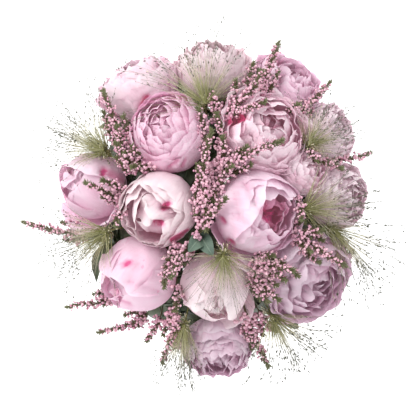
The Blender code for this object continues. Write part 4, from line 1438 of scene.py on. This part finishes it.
def needle_finish(colours):
    """Heather twig and needles, younger and brighter at the tip."""
    look = Look("heather_needle")
    tone = look.share("tone")
    blotch = look.noise(look.place(), 500.0, 2.0)
    colour = look.mix(look.step(tone, 0.2, 0.9), solid(colours.needle), solid(colours.tip))
    colour = look.mix(look.step(blotch, 0.5, 0.8) * 0.4, colour, solid(NEEDLE_BLOTCH))
    return look.shade(colour, 0.55)


def along_line(line, shares):
    """Places and directions at shares of an array line."""
    spots = np.asarray(shares) * (len(line) - 1)
    low = np.clip(spots.astype(int), 0, len(line) - 2)
    ways = unit(np.gradient(line, axis=0))
    return line[low] + (line[low + 1] - line[low]) * (spots - low)[:, None], ways[low]


def add_spike(bells, twigs, line, settings, rng, full):
    """A spike of heather: side shoots with bells, needles, and a leafy tip. full is how bushy it is."""
    length = np.linalg.norm(np.diff(line, axis=0), axis=1).sum() / MM
    add_tube(twigs, line, np.linspace(*SPIKE_RADII, len(line)), 6, tone=0.1)
    shoots = int(length * SHOOTS_PER_MM)
    shares = (np.arange(shoots) + rng.random(shoots)) / shoots * SHOOTS_TO
    places, ways = along_line(line, shares)
    around = np.arange(shoots) * SHOOT_TURN + rng.normal(0, SHOOT_TURN_STRAY, shoots)
    side = unit(np.cross(ways, (0.2, 0.3, 0.93)))
    out = np.cos(around)[:, None] * side + np.sin(around)[:, None] * np.cross(ways, side)
    t = np.linspace(0, 1, 4)[:, None]
    spots, heads, sizes = [], [], []
    gain = SHOOT_GAIN + SHOOT_BUSHY_GAIN * full
    for k in range(shoots):
        reach = (SHOOT_LEAST + gain * (1 - SHOOT_LOSS * shares[k])) * rng.uniform(0.7, 1.2)
        way = unit(out[k] + ways[k] * rng.uniform(0.4, 1.1))
        shoot = places[k] + way * reach * t + ways[k] * reach * SHOOT_BEND * t * t
        add_tube(twigs, shoot, np.linspace(*SHOOT_RADII, 4), 4, tone=0.12)
        count = max(1, round(reach / MM * settings.bells_per_mm * (0.5 + 0.5 * full)))
        for j in range(count):
            spot = places[k] + way * reach * (j + rng.uniform(0.6, 1.1)) / count
            head = unit(way + rng.normal(0, 0.8, 3) + 0.25 * UP)
            spots.append(spot + head * BELL_HANG)
            heads.append(head)
            sizes.append(settings.bell_length * (1 - BELL_LOSS * shares[k]) * rng.uniform(0.75, 1.15))
    stamp(bells, BELL, spots, heads, sizes, rng.random(len(spots)), rng)
    needles = int(length * NEEDLES_PER_MM)
    shares = rng.random(needles)
    places, ways = along_line(line, shares)
    out = unit(np.cross(ways, rng.normal(size=(needles, 3))))
    sizes = rng.uniform(NEEDLE_LEAST, NEEDLE_MOST + NEEDLE_BUSHY_GAIN * full, needles)
    stamp(twigs, NEEDLE, places, out + ways * 0.8, sizes, 0.15 + 0.5 * shares**3, rng)
    places, ways = along_line(line, 1 - TIP_SHARE * rng.random(TIP_NEEDLES))
    out = unit(np.cross(ways, rng.normal(size=(TIP_NEEDLES, 3))))
    tones = 0.5 + 0.5 * rng.random(TIP_NEEDLES)
    stamp(twigs, NEEDLE, places, out * 0.45 + ways, [TIP_NEEDLE] * TIP_NEEDLES, tones, rng)


def beside(line, hand, share, rng):
    """A spike of a share of another's length that runs beside it, a little lower."""
    count = max(6, int(len(line) * share * rng.uniform(0.75, 1.25)))
    away = smooth(np.linspace(0, 1, count)[:, None] * 1.5)
    side = unit(np.cross(unit(np.gradient(line, axis=0))[:count], UP)) * hand
    inward = unit(line[:count] - FOCUS_Z * UP)
    return line[:count] + side * SPIKES_APART * away * rng.uniform(0.7, 1.2) - inward * SPIKE_DROP * away


class PEONY_OT_heather(bpy.types.Operator):
    """Grows the heather: stems, bells and needles"""

    bl_idname = "peony.heather"
    bl_label = "Heather"

    def execute(self, context):
        settings = context.scene.bunch.heather
        bell, needle = bell_finish(settings), needle_finish(settings)
        for number, (place, spikes) in HEATHER.items():
            rng = draws("heather", number)
            root, full = on_dome(*place), BUSHY[number]
            bells, twigs = Gather(), Gather()
            path = curve(stalk(SLOTS[f"heather_{number}"], [under_dome(root), root], 2), 4, SPRAY_STEP)
            add_tube(twigs, path, HEATHER_STEM, 7, flat_end=True, tone=0.0)
            for spike in spikes:
                line = curve([root, *[on_dome(*p) for p in spike]], 8, SPIKE_STEP)
                add_spike(bells, twigs, line, settings, rng, full)
                for hand in (-1, 1):
                    other = beside(line, hand, 0.30 + 0.40 * full, rng)
                    add_spike(bells, twigs, other, settings, rng, full)
            for shoot in (points for owner, points in SHOOTS if owner == number):
                points = [under_dome(root), *[on_dome(*p) for p in shoot]]
                line = curve(points, 8, SPIKE_STEP)
                foot = np.argmin(np.linalg.norm(line - np.array(points[1]), axis=1))
                add_tube(twigs, line[: foot + 1], BRANCH_RADIUS, 5, tone=0.0)
                add_spike(bells, twigs, line[foot:], settings, rng, SHOOT_BUSHY)
            twigs.object(f"heather_{number}_twigs", needle, "heather", [f"heather_{number}"])
            bells.object(f"heather_{number}_bells", bell, "heather")
        return {"FINISHED"}


def grass_finish(colours):
    """Hair of the grass, greener near its knot and dark towards its tip."""
    look = Look("grass_hair")
    along, tone = look.share("along"), look.share("tone")
    patches = look.noise(look.place(), 60.0, 2.0)
    outer = look.step(along + (patches - 0.5) * 0.3, 0.05, 0.6)
    colour = look.mix(outer, solid(colours.hair_base), solid(colours.hair))
    colour = look.mix(tone * 0.35, colour, solid(colours.grain_pale))
    colour = look.mix(look.step(along, 0.28, 0.62) * 0.85, colour, solid(colours.grain))
    return look.shade(colour, 0.55)


def grain_finish(colours):
    """Spikelets, some dark and some pale."""
    look = Look("grass_grain")
    along, tone = look.share("along"), look.share("tone")
    colour = look.mix(look.step(tone, 0.72, 0.86), solid(colours.grain), solid(colours.grain_pale))
    colour = look.mix(look.step(along, 0.6, 1.0) * 0.4, colour, solid(colours.hair))
    return look.shade(colour, 0.5)


HAIR_TIP_REACH = 258  # mm
HAIR_TAPER = (2.4, 1.9, 1.4, 1.0, 0.8, 0.7, 0.6)  # beside the hair's own radius, from root to tip
FORK_TAPER = np.array((0.8, 0.7, 0.6))
HAIR_ARCH, HAIR_STRAY = 0.18, 0.05  # how far a hair arches outwards and strays, in shares of its length
MISTY_REACH, LEAST_HAIR = 0.85, 0.20  # the longest fine hair and the shortest hair, in shares of short
MISTY_THICK = 0.8  # beside the usual radius
FAN_SPREAD = 0.85  # how widely the hairs' directions scatter, as a share of the fan's half-width
FORK_LENGTH, FORK_STRAY, FORK_TURN = (0.002, 0.007), 0.0006, 0.22
KNOT_HAIR, KNOT_REACH = 0.00012, (0.001, 0.012)  # radius of the hairs at the knot, and how far they go

# Lengths of the grains on fine hairs, on long hairs, on their forks and round the knot. Grains are
# smaller over the blooms than beyond them: the share, and where in mm it starts to rise and for how far.
MISTY_GRAIN, LONG_GRAIN = (0.0010, 0.0016), (0.0024, 0.0040)
FORK_GRAIN, KNOT_GRAIN = (0.0026, 0.0050), (0.0022, 0.0040)
INNER_GRAIN, OUTER_FROM, OUTER_SPAN = 0.42, 130, 50
PALE_TONES = (0.55, 1.0)


def add_head(hairs, grains, number, settings, rng):
    """A grass head: a fan of fine hairs, the longer ones forked, with a spikelet on each end."""
    place, knot, facing, half, short, long = GRASS[number]
    head = HEAD_OF.get(number, FULL)
    root, hub = np.array(on_dome(*place)), np.array(on_dome(*knot))
    t = np.linspace(0, 1, len(HAIR_TAPER))[:, None]
    taper = settings.hair_radius * np.maximum(HAIR_TAPER, head.thin)
    places, ways, sizes, tones = [], [], [], []

    def spikelet(spot, way, size, tone):
        """Notes one grain for the stamp."""
        for row, value in zip((places, ways, sizes, tones), (spot, way, size, tone)):
            row.append(value)

    for k in range(int(settings.hairs * head.crowd)):
        misty = k % head.pace > 0
        angle = math.radians(facing + half * FAN_SPREAD * np.clip(rng.normal(), -2.0, 2.0))
        far_share = rng.random() ** (1.2 if misty else 0.7)
        shortest, longest = short * LEAST_HAIR, short * MISTY_REACH if misty else long
        length = shortest + (longest - shortest) * far_share
        start = root + (hub - root) * rng.uniform(-0.2, 1.0)
        tip_reach = knot[2] + (HAIR_TIP_REACH - knot[2]) * rng.uniform(0.05, 0.9) * min(1, length / 50)
        x, y = knot[0] + length * math.cos(angle), knot[1] + length * math.sin(angle)
        tip = np.array(on_dome(x, y, tip_reach))
        middle = (start + tip) / 2
        middle = middle + unit(middle - FOCUS_Z * UP) * length * MM * HAIR_ARCH
        middle = middle + rng.normal(0, HAIR_STRAY, 3) * length * MM
        line = start * (1 - t) ** 2 + 2 * middle * t * (1 - t) + tip * t**2
        radii = taper * (MISTY_THICK if misty else head.thick)
        add_tube(hairs, line, radii, 3, along=t[:, 0] * length / long, tone=rng.random())
        outer = smooth((np.linalg.norm(tip[:2]) / MM - OUTER_FROM) / OUTER_SPAN)
        scale = head.grain * (INNER_GRAIN + (1 - INNER_GRAIN) * outer)
        for _ in range(0 if misty else int(1 + 5 * far_share)):
            at = int(rng.uniform(0.45, 0.98) * 6)
            spot = line[at] + (line[6] - line[5]) * rng.uniform(0, 1)
            way = unit(unit(line[-1] - line[-2]) + rng.normal(0, FORK_TURN, 3))
            end = spot + way * rng.uniform(*FORK_LENGTH)
            fork = np.array([spot, (spot + end) / 2 + rng.normal(0, FORK_STRAY, 3), end])
            add_tube(hairs, fork, settings.hair_radius * FORK_TAPER, 3, along=0.8, tone=rng.random())
            size = scale * rng.uniform(*FORK_GRAIN)
            spikelet(end, way, size, rng.random() * 0.75 + 0.8 * (1 - outer) * rng.random())
        size = rng.uniform(*MISTY_GRAIN) if misty else scale * rng.uniform(*LONG_GRAIN)
        tone = rng.uniform(*PALE_TONES) if misty else rng.random() * 0.8
        spikelet(tip, line[-1] - line[-2], size, tone)
    for _ in range(settings.knot_grains):
        way = unit(rng.normal(size=3) + unit(hub - FOCUS_Z * UP) * 0.8)
        spot = root + (hub - root) * rng.uniform(-0.3, 0.9) + way * rng.uniform(*KNOT_REACH)
        hair = np.array([root + (hub - root) * 0.5, (spot + hub) / 2, spot])
        add_tube(hairs, hair, KNOT_HAIR, 3, along=0.1, tone=0.3)
        spikelet(spot, way, rng.uniform(*KNOT_GRAIN), rng.uniform(*PALE_TONES))
    stamp(grains, GRAIN, places, ways, sizes, tones, rng)


class PEONY_OT_grass(bpy.types.Operator):
    """Grows the fountain grass: stalks, hairs and spikelets"""

    bl_idname = "peony.grass"
    bl_label = "Fountain Grass"

    def execute(self, context):
        settings = context.scene.bunch.grass
        hair, grain = grass_finish(settings), grain_finish(settings)
        for number, row in GRASS.items():
            rng = draws("grass", number)
            root, hub = on_dome(*row[0]), on_dome(*row[1])
            hairs, grains = Gather(), Gather()
            path = curve(stalk(SLOTS[f"grass_{number}"], [under_dome(root), root, hub], 2), 4, SPRAY_STEP)
            radii = np.linspace(GRASS_STEM, GRASS_STEM * 0.7, len(path))
            add_tube(hairs, path, radii, 6, flat_end=True, tone=0.1)
            add_head(hairs, grains, number, settings, rng)
            hairs.object(f"grass_{number}_hairs", hair, "grass", [f"grass_{number}"])
            grains.object(f"grass_{number}_grains", grain, "grass")
        return {"FINISHED"}


# ---------------------------------------------------------------- twine

FIBRE_LIGHT = (0.66, 0.54, 0.36)
PLIES, PLY_TURNS, TURN_POINTS = 3, 9, 72  # the plies of the twine, their twists and points in one turn
PLY_OFFSET, PLY_RADIUS = 0.46, 0.56  # beside the twine's own radius


def twine_finish(colours):
    """Rough twine, its fibres pale and painted shade in the grooves between its strands."""
    look = Look("twine")
    across, tone = look.share("across"), look.share("tone")
    fibres = look.noise(look.place(), 1500.0, 3.0, 0.7)
    colour = look.mix(look.step(fibres, 0.3, 0.7) * 0.6, solid(colours.fibre), solid(FIBRE_LIGHT))
    # Painted shade in the grooves between the strands.
    colour = look.mix(look.step(across, 0.25, 0.9) * 0.7, colour, solid(colours.shade))
    colour = look.mix(tone * 0.2, colour, solid(colours.shade))
    return look.shade(colour, 0.9, look.bump(fibres, 0.6, 0.0004))


class PEONY_OT_twine(bpy.types.Operator):
    """Winds the twine round the waist of the bunch"""

    bl_idname = "peony.twine"
    bl_label = "Twine Tie"

    def execute(self, context):
        settings = context.scene.bunch.twine
        strand, turns = settings.strand, settings.turns
        low, high = TIE_BOX
        share = np.linspace(0, 1, turns * TURN_POINTS + 1)
        angle = 2 * np.pi * turns * share
        out = np.stack([np.cos(angle), np.sin(angle), 0 * angle], -1)
        height = low.z + strand + (high.z - low.z - 2 * strand) * share
        core = out * ((high.x - low.x) / 2 - strand * 1.05) + height[:, None] * UP
        gather = Gather()
        for ply in range(PLIES):
            twist = (angle * PLY_TURNS + ply * 2 * np.pi / PLIES)[:, None]
            path = core + strand * PLY_OFFSET * (out * np.cos(twist) + UP * np.sin(twist))
            add_tube(gather, path, strand * PLY_RADIUS, 7, across=0.2, tone=0.2 * ply)
        gather.object("twine_windings", twine_finish(settings), "twine", ["twine_tie"])
        return {"FINISHED"}


# ---------------------------------------------------------------- stage

FLOOR_RADIUS, FLOOR_SIDES = 6, 96
FLOOR_SHADE, WHITE, SKY = (0.8, 0.8, 0.8), (1.0, 1.0, 1.0), (0.98, 0.99, 1.0)
LIT_POINT = Vector((0, 0, 0.36))
CAMERA_ASIDE = 0.0054
SENSOR_WIDTH, NEAREST, FARTHEST = 36.0, 0.05, 60.0

# The lights: the place, the share of the key light's power, the size and the colour.
LIGHTS = {
    "key": ((-1.0, 0.95, 1.65), 1.0, 0.9, (1.0, 0.985, 0.965)),
    "fill": ((1.3, -0.7, 1.3), 0.12, 1.4, (0.95, 0.97, 1.0)),
}


def place_object(name, data, location=(0, 0, 0)):
    """An object of the stage."""
    thing = bpy.data.objects.new(name, data)
    thing.location = location
    bpy.context.scene.collection.objects.link(thing)
    return thing


class PEONY_OT_stage(bpy.types.Operator):
    """Lays the floor and sets the lights and the camera"""

    bl_idname = "peony.stage"
    bl_label = "Stage"

    def execute(self, context):
        settings, scene = context.scene.bunch.stage, context.scene
        look = Look("floor")
        mottle = look.noise(look.place(), 3.0, 2.0) * 0.03
        colour = look.mix(mottle, solid(settings.floor), solid(FLOOR_SHADE))
        glow = {"emission_color": solid(WHITE), "emission_strength": settings.floor_glow}
        cos, sin = around_axis(FLOOR_SIDES)
        ring = FLOOR_RADIUS * np.hstack([cos, sin, 0 * cos])
        mesh = bpy.data.meshes.new("floor")
        mesh.from_pydata(ring.tolist(), [], [tuple(range(FLOOR_SIDES))])
        mesh.materials.append(look.shade(colour, 0.8, **glow))
        place_object("floor", mesh)

        world = bpy.data.worlds.new("studio")
        world.use_nodes = True
        background = world.node_tree.nodes["Background"]
        background.inputs["Color"].default_value = solid(SKY)
        background.inputs["Strength"].default_value = settings.sky
        scene.world = world

        for name, (place, share, size, colour) in LIGHTS.items():
            light = bpy.data.lights.new(name, "AREA")
            light.energy, light.size, light.color = settings.key * share, size, colour
            lamp = place_object(name, light, place)
            lamp.rotation_euler = (LIT_POINT - Vector(place)).to_track_quat("-Z", "Y").to_euler()
            lamp.visible_camera = False

        camera = bpy.data.cameras.new("camera")
        camera.lens, camera.sensor_width = settings.lens, SENSOR_WIDTH
        camera.clip_start, camera.clip_end = NEAREST, FARTHEST
        eye = (MIDDLE[0] - CAMERA_ASIDE, MIDDLE[1], settings.camera_height)
        scene.camera = place_object("camera", camera, eye)
        scene.view_settings.view_transform = "Standard"
        scene.view_settings.look = "None"
        return {"FINISHED"}


class PEONY_PT_bunch(bpy.types.Panel):
    """The settings of the bunch and of its stage"""

    bl_idname = "PEONY_PT_bunch"
    bl_label = "Bunch of Peonies"
    bl_space_type = "VIEW_3D"
    bl_region_type = "UI"
    bl_category = "Peonies"

    def draw(self, context):
        bunch = context.scene.bunch
        for operator in OPERATORS:
            self.layout.operator(operator.bl_idname)
        self.layout.prop(bunch, "petal_thickness")
        for group in ("green", "heather", "grass", "twine", "stage", *PETALS):
            box = self.layout.box()
            box.label(text=group.title())
            settings = getattr(bunch, group)
            for name in settings.bl_rna.properties.keys():
                if name not in ("rna_type", "name"):
                    box.prop(settings, name)


GROUPS = (
    *PETAL_GROUPS.values(),
    GreenColours,
    HeatherColours,
    GrassColours,
    TwineColours,
    StageSettings,
    BunchSettings,
)
OPERATORS = (
    PEONY_OT_stage,
    PEONY_OT_blooms,
    PEONY_OT_stems,
    PEONY_OT_leaves,
    PEONY_OT_sprig,
    PEONY_OT_heather,
    PEONY_OT_grass,
    PEONY_OT_twine,
)


def register():
    """Makes the settings, the operators and the panel known."""
    for cls in (*GROUPS, *OPERATORS, PEONY_PT_bunch):
        bpy.utils.register_class(cls)
    bpy.types.Scene.bunch = PointerProperty(type=BunchSettings)


def unregister():
    """Takes them away again."""
    del bpy.types.Scene.bunch
    for cls in reversed((*GROUPS, *OPERATORS, PEONY_PT_bunch)):
        bpy.utils.unregister_class(cls)


def main():
    """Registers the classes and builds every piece."""
    register()
    for operator in OPERATORS:
        group, name = operator.bl_idname.split(".")
        getattr(getattr(bpy.ops, group), name)()


if __name__ == "__main__":
    main()
